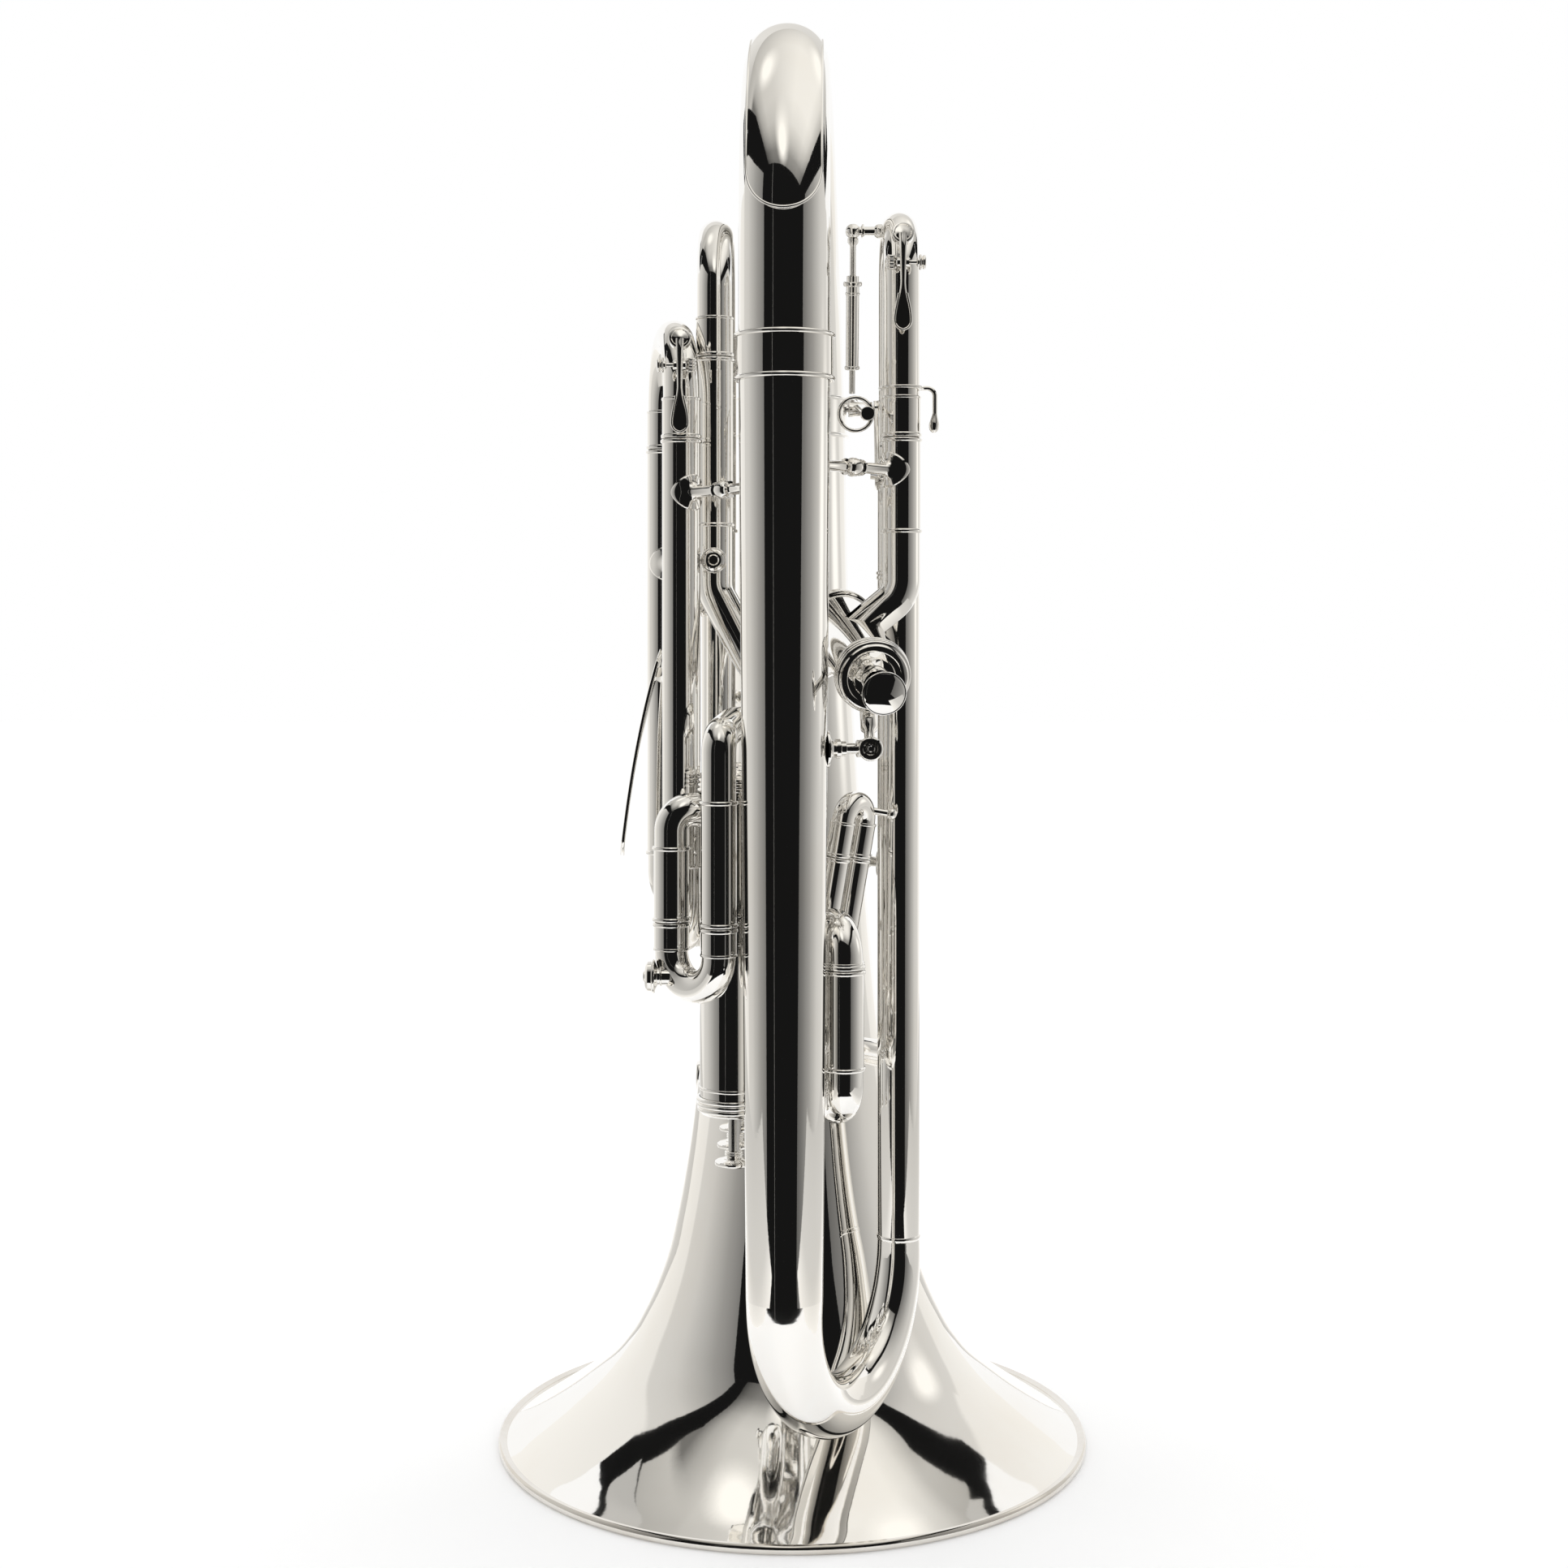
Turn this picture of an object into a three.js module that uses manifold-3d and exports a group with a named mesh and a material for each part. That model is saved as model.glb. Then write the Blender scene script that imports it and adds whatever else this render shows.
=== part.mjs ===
import * as THREE from 'three';
import { mergeVertices } from 'three/addons/utils/BufferGeometryUtils.js';
import Module from 'manifold-3d';

const wasm = await Module();
wasm.setup();
const { Vector3 } = THREE;

// Compensating euphonium standing on its bell, in millimetres, +Z up, the view of the four valves from -Y.
// Columns are vertical tubes named by where their axes stand beside the bell's axis.

// Driving dimensions
const clearance = 0.3;
const tubeSides = 8;
const turnedSides = 12;
const casingSides = 16;
const bowSides = 16;
const smallSides = 6;
const bellSides = 24;
const bendSteps = 3;
const footSteps = 2;
const bowSteps = 6;
const wrapSteps = 8;
const bell = { rimRadius: 150, wall: 1.2, beadRadius: 2.4, belowLeg: 11 };
const leg = { x: -4, y: -165, topRadius: 20.3, lowRadius: 17, topZ: 533 };
const bow = { legRise: 62, crownRadius: 20, guardThickness: 0.9, guardGap: 1.7 };
const guardHalfAngle = 1.15;
const guardEndShare = 0.55;
const guardNarrowRings = 3;
const branch = { x: 51.2, y: -66, radius: 10.2, topZ: 440 };
const uBend = { bottomZ: 43, radius: 14.6, straight: 6 };
const ferrule = { length: 21, thickness: 1.2, bead: 2.2 };
const slideTube = { radius: 8.9, bore: 8.2, inner: 7.2, bead: 1.6, ferruleLength: 19 };
const smallTube = { radius: 8, inner: 6.4, bore: 7.3 };
const tinyTube = { radius: 5.9, inner: 4.5, bore: 5.2 };
const tuning = { front: { x: 50, y: -115 }, seatZ: 502, crookZ: 611, lowZ: 458, insert: 38 };
const elbow = { bend: 14, dropZ: 430, end: { x: 31, y: -112, z: 414 } };
const fourth = {
  a: { x: -52, y: -108 }, b: { x: -62.8, y: -46 }, seatZ: 502, crookZ: 562, lowZ: 303, insert: 90,
};
const fourthFoot = { z: 270, turnY: -70, bend: 19, backZ: 276, backY: -48, reachX: -32 };
const upper = {
  a: { x: -37, y: -90 }, b: { x: -37, y: -30 }, seatZ: 542, crookZ: 613, lowZ: 462, insert: 60,
};
const upperFoot = {
  bend: 16, dropZ: 432, lowPoint: { x: -12, y: -100, z: 386 }, end: { x: 27, y: -104, z: 406 },
  backZ: 312,
};
const third = {
  a: { x: -33, y: -158.5 }, b: { x: -55, y: -138 }, seatZ: 282, crookZ: 246, topZ: 338, backTopZ: 316,
  insert: 28,
};
const thirdHead = {
  bend: 9, riseZ: 366, over: { x: -27, y: -132, z: 371 }, beside: { x: -2, y: -122, z: 371 },
};
const thirdEnd = { drop: { x: -1, y: -112, z: 330 }, end: { x: -20, y: -100, z: 320 }, elbowZ: 332 };
const second = {
  a: { x: 22.6, y: -150 }, b: { x: 14.5, y: -124 }, seatZ: 262, crookZ: 288, lowZ: 217, insert: 22,
};
const secondFoot = {
  z: 200, turn: { x: 13, y: -118 }, end: { x: -16, y: -96 }, bend: 11, backZ: 226, backLowZ: 238,
};
const first = {
  a: { x: 25.7, y: -105 }, b: { x: 36, y: -90 }, topZ: 339, seatDrop: 32, length: 74, insert: 24,
};
const leanAngle = 0.165;
const firstFoot = { bend: 7, frontZ: 246, backZ: 232, endX: -16 };
const casing = { x: -27, spacing: 35, firstY: -130, lowZ: 196, topZ: 346, radius: 15.5, bore: 12.4 };
const cap = { radius: 17.2, length: 8.6, thickness: 2.4, bore: 3.4, bead: 1.1 };
const piston = { length: 88, stemRadius: 2.5, buttonRadius: 8.7, buttonThickness: 4.4, exposed: 19, rest: 3 };
const spring = { radius: 9.2, wire: 0.8 };
const springTurns = 4;
const curlSteps = 6;
const wireSides = 3;
const sideValve = { front: { x: 35.6, y: -157, z: 392.4 }, back: { x: 22.5, y: -62, z: 417.3 } };
const sidePistonShare = 0.55;
const sideButton = { radius: 9.8, exposed: 20 };
const mouthpipe = { radius: 5.2, wrapRadius: 59.4, startZ: 214, endZ: 172 };
const wrap = { startAngle: -1.38, endAngle: Math.PI / 2 };
const receiver = { length: 46, mouthRadius: 8.4, shankBore: 6.3, lipLength: 5, depth: 26 };
const brace = { rod: 2.3, flange: 6.6, flangeThickness: 1.6, knuckle: 4 };
const braceDrops = {
  fourth: 25, tuning: 15, legToValves: 60, valvesToBell: 84, upperToBell: 82, branch: 140,
};
const crossDrops = { fourthToUpper: 78, tuning: 24, upper: 42, fourth: 56, aboveThirdSeat: 12 };

const stay = { ball: { x: 34, y: -158, z: 361 }, knob: 5, top: { x: 33.2, y: -139, z: 384 }, rod: 2.4 };
const linkTube = { radius: 5.5, lowZ: 232, highZ: 312 };
const trigger = {
  x: 37.6, y: -98, z: 517, eye: 4.2, plate: 2.8, footLow: 472, footBack: -108, footFront: -120,
  padLow: 476, padHigh: 497,
};
const triggerPin = { radius: 1.6, length: 12.6, head: 3.1, headLength: 1.5 };
const lever = { hub: 3.6, bore: 2.1, length: 11.6, arm: 1.9, ball: 2.9, reach: 24, rise: 6, x: 28.5 };
const thumb = { radius: 8.4, thickness: 1.6, reach: 28, drop: 5, x: 28.4 };
const linkRod = { stubZ: 602, stubRadius: 2.2, knuckle: 3.6, thin: 1.5, tube: 3.1, collar: 4.4, gap: 0.8 };
const rodShares = { collar: 0.27, end: 0.84 };
const keys = {
  hub: 2.4, hubLength: 12, neck: 2, spoon: 3.8, plate: 1.5, pad: 3.9, screw: 3.2, screwLength: 2,
  standOff: 4.6,
};
const tuningKey = { padZ: 594, hingeZ: 581, spoonZ: 554, side: 1 };
const fourthKey = { padZ: 547, hingeZ: 535, spoonZ: 508, side: -1 };
const nub = { head: 6, neck: 3.9, plunger: 2.6, headLength: 4.5, proud: 2.2, bore: 3 };
const thirdKey = { z: 258, y: -144, outerX: -66.5, innerX: -46 };
const amadoKey = { z: 446, reach: 9 };
const handRest = {
  topZ: 404, lowZ: 305, footZ: 393, near: -62, far: -81, bulge: -75, bulgeZ: 362, y: -71, width: 18,
  thickness: 2, foot: 3,
};

// Small shared helpers
const materials = {
  silver: new THREE.MeshStandardMaterial({ color: 0xe9e6e0, roughness: 0.12, metalness: 1 }),
  steel: new THREE.MeshStandardMaterial({ color: 0xb9bbbd, roughness: 0.3, metalness: 1 }),
  felt: new THREE.MeshStandardMaterial({ color: 0xdedbd2, roughness: 0.95, metalness: 0 }),
  cork: new THREE.MeshStandardMaterial({ color: 0xb98a5a, roughness: 0.9, metalness: 0 }),
  monel: new THREE.MeshStandardMaterial({ color: 0x9b9c9a, roughness: 0.25, metalness: 1 }),
};
const euphonium = new THREE.Group();
const v = (x, y, z) => new Vector3(x, y, z);
const up = v(0, 0, 1);
const tau = 2 * Math.PI;

function addPart(name, geometry, material = materials.silver) {
  const mesh = new THREE.Mesh(geometry, material);
  mesh.name = name;
  euphonium.add(mesh);
  return mesh;
}

// Join and cut
function toSolid(geometry) {
  const plain = geometry.clone();
  plain.deleteAttribute('normal');
  plain.deleteAttribute('uv');
  const merged = mergeVertices(plain, 1e-4);
  const vertProperties = new Float32Array(merged.attributes.position.array);
  const triVerts = new Uint32Array(merged.index.array);
  return new wasm.Manifold(new wasm.Mesh({ numProp: 3, vertProperties, triVerts }));
}

function fromSolid(solid) {
  const mesh = solid.getMesh();
  const geometry = new THREE.BufferGeometry();
  geometry.setAttribute('position', new THREE.BufferAttribute(new Float32Array(mesh.vertProperties), 3));
  geometry.setIndex(new THREE.BufferAttribute(new Uint32Array(mesh.triVerts), 1));
  return geometry;
}

function join(...geometries) {
  return fromSolid(geometries.map(toSolid).reduce((sum, solid) => sum.add(solid)));
}

function cut(geometry, ...cutters) {
  return fromSolid(cutters.map(toSolid).reduce((rest, cutter) => rest.subtract(cutter), toSolid(geometry)));
}

// Places a lathe made along +Y so that it runs from one point towards another
function along(geometry, from, to) {
  const direction = to.clone().sub(from).normalize();
  const turn = new THREE.Quaternion().setFromUnitVectors(v(0, 1, 0), direction);
  geometry.applyQuaternion(turn);
  geometry.translate(from.x, from.y, from.z);
  return geometry;
}

// A turned piece: the profile's points are [radius, distance along the axis]
function turned(profile, from, to, sides = turnedSides) {
  const points = profile.map(([radius, distance]) => new THREE.Vector2(radius, distance));
  return along(new THREE.LatheGeometry(points, sides), from, to);
}

function rod(from, to, radius, endRadius = radius, sides = turnedSides) {
  const length = from.distanceTo(to);
  return turned([[0, 0], [radius, 0], [endRadius, length], [0, length]], from, to, sides);
}

function sleeve(from, to, radius, bore, sides = turnedSides) {
  const length = from.distanceTo(to);
  return turned([[bore, 0], [radius, 0], [radius, length], [bore, length], [bore, 0]], from, to, sides);
}

// A sleeve with a raised bead round each end that is named
function beadedSleeve(from, to, radius, bore, bead, ends = [true, true], sides = tubeSides) {
  const length = from.distanceTo(to);
  const raised = radius + bead / 2;
  const low = ends[0] ? [[raised, 0], [raised, bead], [radius, bead]] : [[radius, 0]];
  const high = ends[1] ? [
    [radius, length - bead], [raised, length - bead], [raised, length],
  ] : [[radius, length]];
  return turned([[bore, 0], ...low, ...high, [bore, length], [bore, 0]], from, to, sides);
}

// Rounds the corners of a route of points and returns points that follow it
function route(corners, bend, steps = bendSteps) {
  const points = [corners[0].clone()];
  for (let i = 1; i < corners.length - 1; i += 1) {
    const before = corners[i - 1].clone().sub(corners[i]).normalize();
    const after = corners[i + 1].clone().sub(corners[i]).normalize();
    const half = before.angleTo(after) / 2;
    const reach = bend / Math.tan(half);
    const centre = corners[i].clone().addScaledVector(
      before.clone().add(after).normalize(), bend / Math.sin(half),
    );
    const start = corners[i].clone().addScaledVector(before, reach).sub(centre);
    const end = corners[i].clone().addScaledVector(after, reach).sub(centre);
    const turn = start.angleTo(end);
    const axis = start.clone().cross(end).normalize();
    for (let step = 0; step <= steps; step += 1) {
      points.push(start.clone().applyAxisAngle(axis, (turn * step) / steps).add(centre));
    }
  }
  points.push(corners[corners.length - 1].clone());
  return points.filter((point, i) => i === 0 || point.distanceTo(points[i - 1]) > clearance / 10);
}

// Frames that turn as little as possible along a path, with the share of its length at each point
function framesAlong(points) {
  const lengths = [0];
  for (let i = 1; i < points.length; i += 1) {
    lengths.push(lengths[i - 1] + points[i].distanceTo(points[i - 1]));
  }
  const total = lengths[lengths.length - 1];
  let side = null;
  return points.map((point, i) => {
    const before = points[Math.max(i - 1, 0)];
    const after = points[Math.min(i + 1, points.length - 1)];
    const ahead = after.clone().sub(point).normalize();
    const behind = point.clone().sub(before).normalize();
    const tangent = ahead.add(behind).normalize();
    if (!side) side = Math.abs(tangent.x) > Math.SQRT1_2 ? v(0, 1, 0) : v(1, 0, 0);
    side = side.clone().addScaledVector(tangent, -side.dot(tangent)).normalize();
    return { point, side, other: tangent.clone().cross(side), share: lengths[i] / total };
  });
}

// Skins closed rings of points, all of one count, and fans its two ends
function skin(rings, closed = false) {
  const count = rings[0].length;
  const positions = rings.flat().flatMap((p) => [p.x, p.y, p.z]);
  const index = [];
  const last = closed ? rings.length : rings.length - 1;
  for (let i = 0; i < last; i += 1) {
    const next = (i + 1) % rings.length;
    for (let j = 0; j < count; j += 1) {
      const k = (j + 1) % count;
      const [a, b, c, d] = [i * count + j, i * count + k, next * count + k, next * count + j];
      index.push(a, b, c, a, c, d);
    }
  }
  if (!closed) {
    for (let j = 1; j < count - 1; j += 1) {
      index.push(0, j + 1, j);
      const top = (rings.length - 1) * count;
      index.push(top, top + j, top + j + 1);
    }
  }
  const geometry = new THREE.BufferGeometry();
  geometry.setAttribute('position', new THREE.Float32BufferAttribute(positions, 3));
  geometry.setIndex(index);
  return geometry;
}

function ringAt(frame, radius, sides) {
  const ring = [];
  for (let j = 0; j < sides; j += 1) {
    const angle = (tau * j) / sides;
    const out = frame.side.clone().multiplyScalar(Math.cos(angle) * radius);
    ring.push(out.addScaledVector(frame.other, Math.sin(angle) * radius).add(frame.point));
  }
  return ring;
}

// A tube along points whose radius is a number or a function of the share of its length
function tube(points, radius, sides = tubeSides) {
  const radiusAt = typeof radius === 'function' ? radius : () => radius;
  return skin(framesAlong(points).map((frame) => ringAt(frame, radiusAt(frame.share), sides)));
}

const mixed = (a, b, share) => a + (b - a) * share;

// Bell: a turned shell with a rolled rim, standing on its rim. Shares are of its height and its rim radius.
const bellShares = [
  [0.0046, 0.985], [0.0153, 0.93], [0.0268, 0.87], [0.0383, 0.8], [0.0536, 0.72], [0.0766, 0.625],
  [0.1264, 0.505], [0.22, 0.394], [0.364, 0.315], [0.594, 0.24], [0.766, 0.2], [1, 0.18],
];

const bellHeight = leg.topZ - bell.belowLeg;

function makeBell() {
  const outer = bellShares.map(([height, radius]) => [radius * bell.rimRadius, height * bellHeight]);
  const inner = outer.map(([radius, z]) => [radius - bell.wall, z]).reverse();
  const bead = bell.beadRadius;
  const centre = bell.rimRadius - bead;
  const foot = bead / 2;
  const rim = [[centre - bead, bead], [centre - foot, 0], [centre + foot, 0], [bell.rimRadius, bead]];
  return turned([...rim, ...outer, ...inner, rim[0]], v(0, 0, 0), up, bellSides);
}
addPart('bell', makeBell());

// Bow: the large U at the top, tapering from the bell to the leg, and its guard on the outer side
const bellAxis = { x: 0, y: 0 };
const at = (column, z) => v(column.x, column.y, z);
const span = (a, b) => Math.hypot(a.x - b.x, a.y - b.y);

function bowRadius(share) {
  const throat = bellShares[bellShares.length - 1][1] * bell.rimRadius;
  return share < 1 / 2 ? mixed(throat, bow.crownRadius, 2 * share) : mixed(
    bow.crownRadius, leg.topRadius, 2 * share - 1,
  );
}

const bowBend = span(bellAxis, leg) / 2;
const bowCentreZ = leg.topZ + bow.legRise;

function bowRoute() {
  const crownZ = bowCentreZ + bowBend;
  const corners = [at(bellAxis, bellHeight + clearance), at(bellAxis, crownZ), at(leg, crownZ)];
  corners.push(at(leg, leg.topZ + clearance));
  return route(corners, bowBend, bowSteps);
}
addPart('bottom_bow', tube(bowRoute(), bowRadius, bowSides));

const guardArcSteps = 6;
function bowGuard() {
  const frames = framesAlong(bowRoute()).slice(4, -1);
  const steps = guardArcSteps;
  const middle = v(leg.x / 2, leg.y / 2, bowCentreZ);
  const rings = frames.map((frame, i) => {
    const outward = frame.point.clone().sub(middle).normalize();
    const tangent = frame.side.clone().cross(frame.other);
    outward.addScaledVector(tangent, -outward.dot(tangent)).normalize();
    const sideways = tangent.clone().cross(outward);
    const narrowing = Math.min(1, (frames.length - 1 - i) / guardNarrowRings + guardEndShare);
    const inner = bowRadius(frame.share) + bow.guardGap;
    const arc = (radius) => Array.from({ length: steps + 1 }, (_, j) => {
      const angle = guardHalfAngle * narrowing * ((2 * j) / steps - 1);
      const out = outward.clone().multiplyScalar(Math.cos(angle) * radius);
      return out.addScaledVector(sideways, Math.sin(angle) * radius).add(frame.point);
    });
    return [...arc(inner + bow.guardThickness), ...arc(inner).reverse()];
  });
  return skin(rings);
}

// Ferrules: sleeves with a bead at each end over the joints of the bow
function makeFerrule(column, z, radius) {
  const low = at(column, z - ferrule.length / 2);
  const high = at(column, z + ferrule.length / 2);
  const bore = radius + clearance;
  return beadedSleeve(low, high, bore + ferrule.thickness, bore, ferrule.bead, [true, true], turnedSides + 2);
}
addPart('bell_ferrule', makeFerrule(bellAxis, bellHeight, bowRadius(0) + ferrule.thickness));
addPart('leg_ferrule', makeFerrule(leg, leg.topZ, leg.topRadius + ferrule.thickness));

// Main leg: the wide front tube, the U at its foot and the narrow branch behind it
const uCentreZ = uBend.bottomZ + uBend.radius + span(leg, branch) / 2;
const uTopZ = uCentreZ + uBend.straight;
const frontLeg = [at(leg, leg.topZ - clearance), at(leg, uTopZ + clearance)];
addPart('main_leg', tube(frontLeg, (share) => mixed(leg.topRadius, leg.lowRadius, share), bowSides));

function footRoute() {
  const footZ = uBend.bottomZ + uBend.radius;
  const corners = [at(leg, uTopZ), at(leg, footZ), at(branch, footZ), at(branch, uTopZ)];
  return route(corners, span(leg, branch) / 2, bowSteps - 1);
}
const footRadius = (share) => mixed(leg.lowRadius, branch.radius + clearance, share);
addPart('foot_bend', tube(footRoute(), footRadius, bowSides - 2));
addPart(
  'branch_tube', tube([at(branch, uTopZ + clearance), at(branch, branch.topZ)], branch.radius, bowSides),
);

// A slide crook: a U of tube whose two legs run into their sleeves
function makeCrook(a, b, loop, insert, radius = slideTube.radius, inner = slideTube.inner) {
  const sign = Math.sign(loop.crookZ - loop.seatZ);
  const bend = span(a, b) / 2;
  const centreZ = loop.crookZ - sign * (bend + radius);
  const turnPoints = route(
    [at(a, centreZ), at(a, centreZ + sign * bend), at(b, centreZ + sign * bend), at(b, centreZ)], bend,
  );
  const seat = loop.seatZ + sign * clearance;
  const roomForRing = Math.abs(centreZ - seat) > slideTube.ferruleLength;
  const ringZ = roomForRing ? seat + sign * slideTube.ferruleLength : centreZ;
  const legOf = (column) => [
    at(column, seat - sign * insert), at(column, seat), at(column, seat), at(column, ringZ),
  ];
  const rise = [inner, inner, radius, radius];
  const smaller = radius - slideTube.bead / 4;
  const points = [...legOf(a), ...turnPoints, ...legOf(b).reverse()];
  const radii = [...rise, ...turnPoints.map(() => smaller), ...rise.slice().reverse()];
  return tubeWithSteps(points, radii, tubeSides);
}

// A tube with a radius for every point, where two points in one place make a shoulder
function tubeWithSteps(points, radii, sides) {
  const distinct = points.filter((point, i) => i === 0 || point.distanceTo(points[i - 1]) > clearance / 10);
  const frames = framesAlong(distinct);
  let at = 0;
  const rings = points.map((point, i) => {
    if (i > 0 && point.distanceTo(points[i - 1]) > clearance / 10) at += 1;
    return ringAt(frames[at], radii[i], sides);
  });
  return skin(rings);
}

addPart('bow_guard', bowGuard());

// Main tuning slide: two fixed sleeves, the crook that slides in them and the elbow to the side valve
const sleeveOf = (column, lowZ, highZ, ends, tubeSize = slideTube) =>
  beadedSleeve(at(column, lowZ), at(column, highZ), tubeSize.radius, tubeSize.bore, slideTube.bead, ends);
addPart(
  'tuning_sleeve_back',
  sleeveOf({ x: tuning.front.x, y: branch.y }, branch.topZ + clearance, tuning.seatZ, [true, true]),
);
addPart('tuning_sleeve_front', sleeveOf(tuning.front, tuning.lowZ + clearance, tuning.seatZ, [true, true]));
const tuningBack = { x: tuning.front.x, y: branch.y };
addPart('tuning_slide', makeCrook(tuning.front, tuningBack, tuning, tuning.insert));

// Valve casings in line, each a bored cylinder with a cap at each end, and their pistons
const casingColumn = (i) => ({ x: casing.x, y: casing.firstY + i * casing.spacing });
const valveNumbers = [1, 2, 3];

function makeCap(from, to, hole) {
  const { radius, length, thickness, bead, bore } = cap;
  const inside = casing.radius + 3 * clearance;
  const low = [[inside, length - thickness], [inside, 0], [radius, 0]];
  const high = [[radius, length - bead], [radius - bead, length]];
  const centre = hole ? bore : 0;
  const ring = [[centre, length - thickness], ...low, ...high, [centre, length]];
  if (hole) ring.push(ring[0]);
  return turned(ring, from, to);
}

// A valve's finger button: a disc with a crowned pad, on the end of the stem
function makeButton(from, to, radius, thickness) {
  const neck = piston.stemRadius + clearance * 4;
  const crown = thickness / 5;
  const profile = [[0, 0], [neck, 0], [neck, thickness / 3], [radius, thickness / 2], [radius, thickness]];
  return turned([...profile, [radius - crown, thickness + crown], [0, thickness + crown]], from, to);
}

// A coil spring: one tube wound round an axis that runs from one point to another
function makeSpring(from, to) {
  const axis = to.clone().sub(from);
  const frame = framesAlong([from, to])[0];
  const steps = springTurns * curlSteps;
  const points = Array.from({ length: steps + 1 }, (_, i) => {
    const angle = (tau * i) / curlSteps;
    const out = frame.side.clone().multiplyScalar(Math.cos(angle) * spring.radius);
    out.addScaledVector(frame.other, Math.sin(angle) * spring.radius);
    return out.add(from).addScaledVector(axis, i / steps);
  });
  const gaps = points.slice(curlSteps).map((point, i) => point.distanceTo(points[i]) - 2 * spring.wire);
  console.log('least gap between the curls of a spring, mm', Math.min(...gaps).toFixed(2));
  return tube(points, spring.wire, wireSides);
}

// A valve along an axis: names its parts after the prefix, stem cap at the start of the axis
function addValve(prefix, start, end, button) {
  const axis = end.clone().sub(start).normalize();
  const length = start.distanceTo(end);
  const place = (distance) => start.clone().addScaledVector(axis, distance);
  addPart(`${prefix}_casing`, sleeve(start, end, casing.radius, casing.bore, casingSides));
  addPart(`${prefix}_stem_cap`, makeCap(place(cap.length - cap.thickness - clearance), place(-length), true));
  addPart(
    `${prefix}_bottom_cap`,
    makeCap(place(length - cap.length + cap.thickness + clearance), place(2 * length), false),
  );
  const pistonLength = Math.min(piston.length, length * sidePistonShare);
  const pistonEnd = place(piston.rest + pistonLength);
  const body = rod(
    place(piston.rest), pistonEnd, casing.bore - clearance, casing.bore - clearance, casingSides,
  );
  const tip = place(-cap.thickness - button.exposed);
  const stem = rod(tip, place(piston.rest + clearance), piston.stemRadius, piston.stemRadius, smallSides);
  addPart(`${prefix}_piston`, join(body, stem), materials.monel);
  const pad = makeButton(
    tip.clone().addScaledVector(axis, -clearance), place(-length), button.radius, piston.buttonThickness,
  );
  addPart(`${prefix}_finger_button`, pad);
  const gap = spring.wire + clearance;
  const springStart = pistonEnd.clone().addScaledVector(axis, gap);
  addPart(`${prefix}_spring`, makeSpring(springStart, place(length - gap)), materials.steel);
}
valveNumbers.forEach((number, i) => {
  const column = casingColumn(i);
  const button = { radius: piston.buttonRadius, exposed: piston.exposed };
  addValve(`valve_${number}`, at(column, casing.lowZ), at(column, casing.topZ), button);
});
const sideStart = v(sideValve.front.x, sideValve.front.y, sideValve.front.z);
const sideEnd = v(sideValve.back.x, sideValve.back.y, sideValve.back.z);
addValve('valve_4', sideStart, sideEnd, sideButton);

// What tubes stay clear of: every casing and its caps
const wallGap = clearance + casing.radius * (1 - Math.cos(Math.PI / casingSides));
function valveKeepOuts(start, end) {
  const axis = end.clone().sub(start).normalize();
  const body = rod(start, end, casing.radius + wallGap, casing.radius + wallGap, casingSides);
  const capReach = cap.length + wallGap;
  const capRadius = cap.radius + wallGap;
  const stemCap = [
    start.clone().addScaledVector(axis, -capReach), start.clone().addScaledVector(axis, capReach),
  ];
  const bottomCap = [
    end.clone().addScaledVector(axis, -capReach), end.clone().addScaledVector(axis, capReach),
  ];
  const capSpaces = [stemCap, bottomCap].map((ends) => rod(...ends, capRadius, capRadius, casingSides));
  return [body, ...capSpaces];
}
const inlineKeepOuts = valveNumbers.flatMap((number, i) => {
  const column = casingColumn(i);
  return valveKeepOuts(at(column, casing.lowZ), at(column, casing.topZ));
});
const sideKeepOuts = valveKeepOuts(sideStart, sideEnd);
const clearOfValves = (geometry) => cut(geometry, ...inlineKeepOuts, ...sideKeepOuts);
const point = ({ x, y, z }) => v(x, y, z);

// Elbow from the front tuning sleeve into the side valve
const elbowRoute = route(
  [at(tuning.front, tuning.lowZ), at(tuning.front, elbow.dropZ), point(elbow.end)], elbow.bend,
);
addPart('tuning_elbow', clearOfValves(tube(elbowRoute, slideTube.radius)));

// Fourth slide: two long sleeves whose feet turn into the third casing, and the crook at their top
function sleeveWithFoot(column, lowZ, highZ, corners, bend, size, ends = [true, true]) {
  const straight = sleeveOf(column, lowZ, highZ, ends, size);
  const start = at(column, lowZ + Math.sign(highZ - lowZ) * slideTube.bead);
  return clearOfValves(join(
    straight, tube(route([start, ...corners], bend, footSteps), size.radius - clearance / 4),
  ));
}
const fourthFrontCorners = [
  at(fourth.a, fourthFoot.z),
  v(fourth.a.x, fourthFoot.turnY, fourthFoot.z),
  v(fourthFoot.reachX, fourthFoot.turnY, fourthFoot.z),
];
const fourthBackCorners = [
  at(fourth.b, fourthFoot.backZ), v(fourthFoot.reachX, fourthFoot.backY, fourthFoot.backZ),
];
const fourthFront = sleeveWithFoot(
  fourth.a, fourth.lowZ, fourth.seatZ, fourthFrontCorners, fourthFoot.bend, slideTube,
);
const fourthBack = sleeveWithFoot(
  fourth.b, fourth.lowZ, fourth.seatZ, fourthBackCorners, fourthFoot.bend, slideTube,
);
addPart('fourth_tube_front', fourthFront);
addPart('fourth_tube_back', fourthBack);
addPart('fourth_slide', makeCrook(fourth.a, fourth.b, fourth, fourth.insert));

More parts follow.
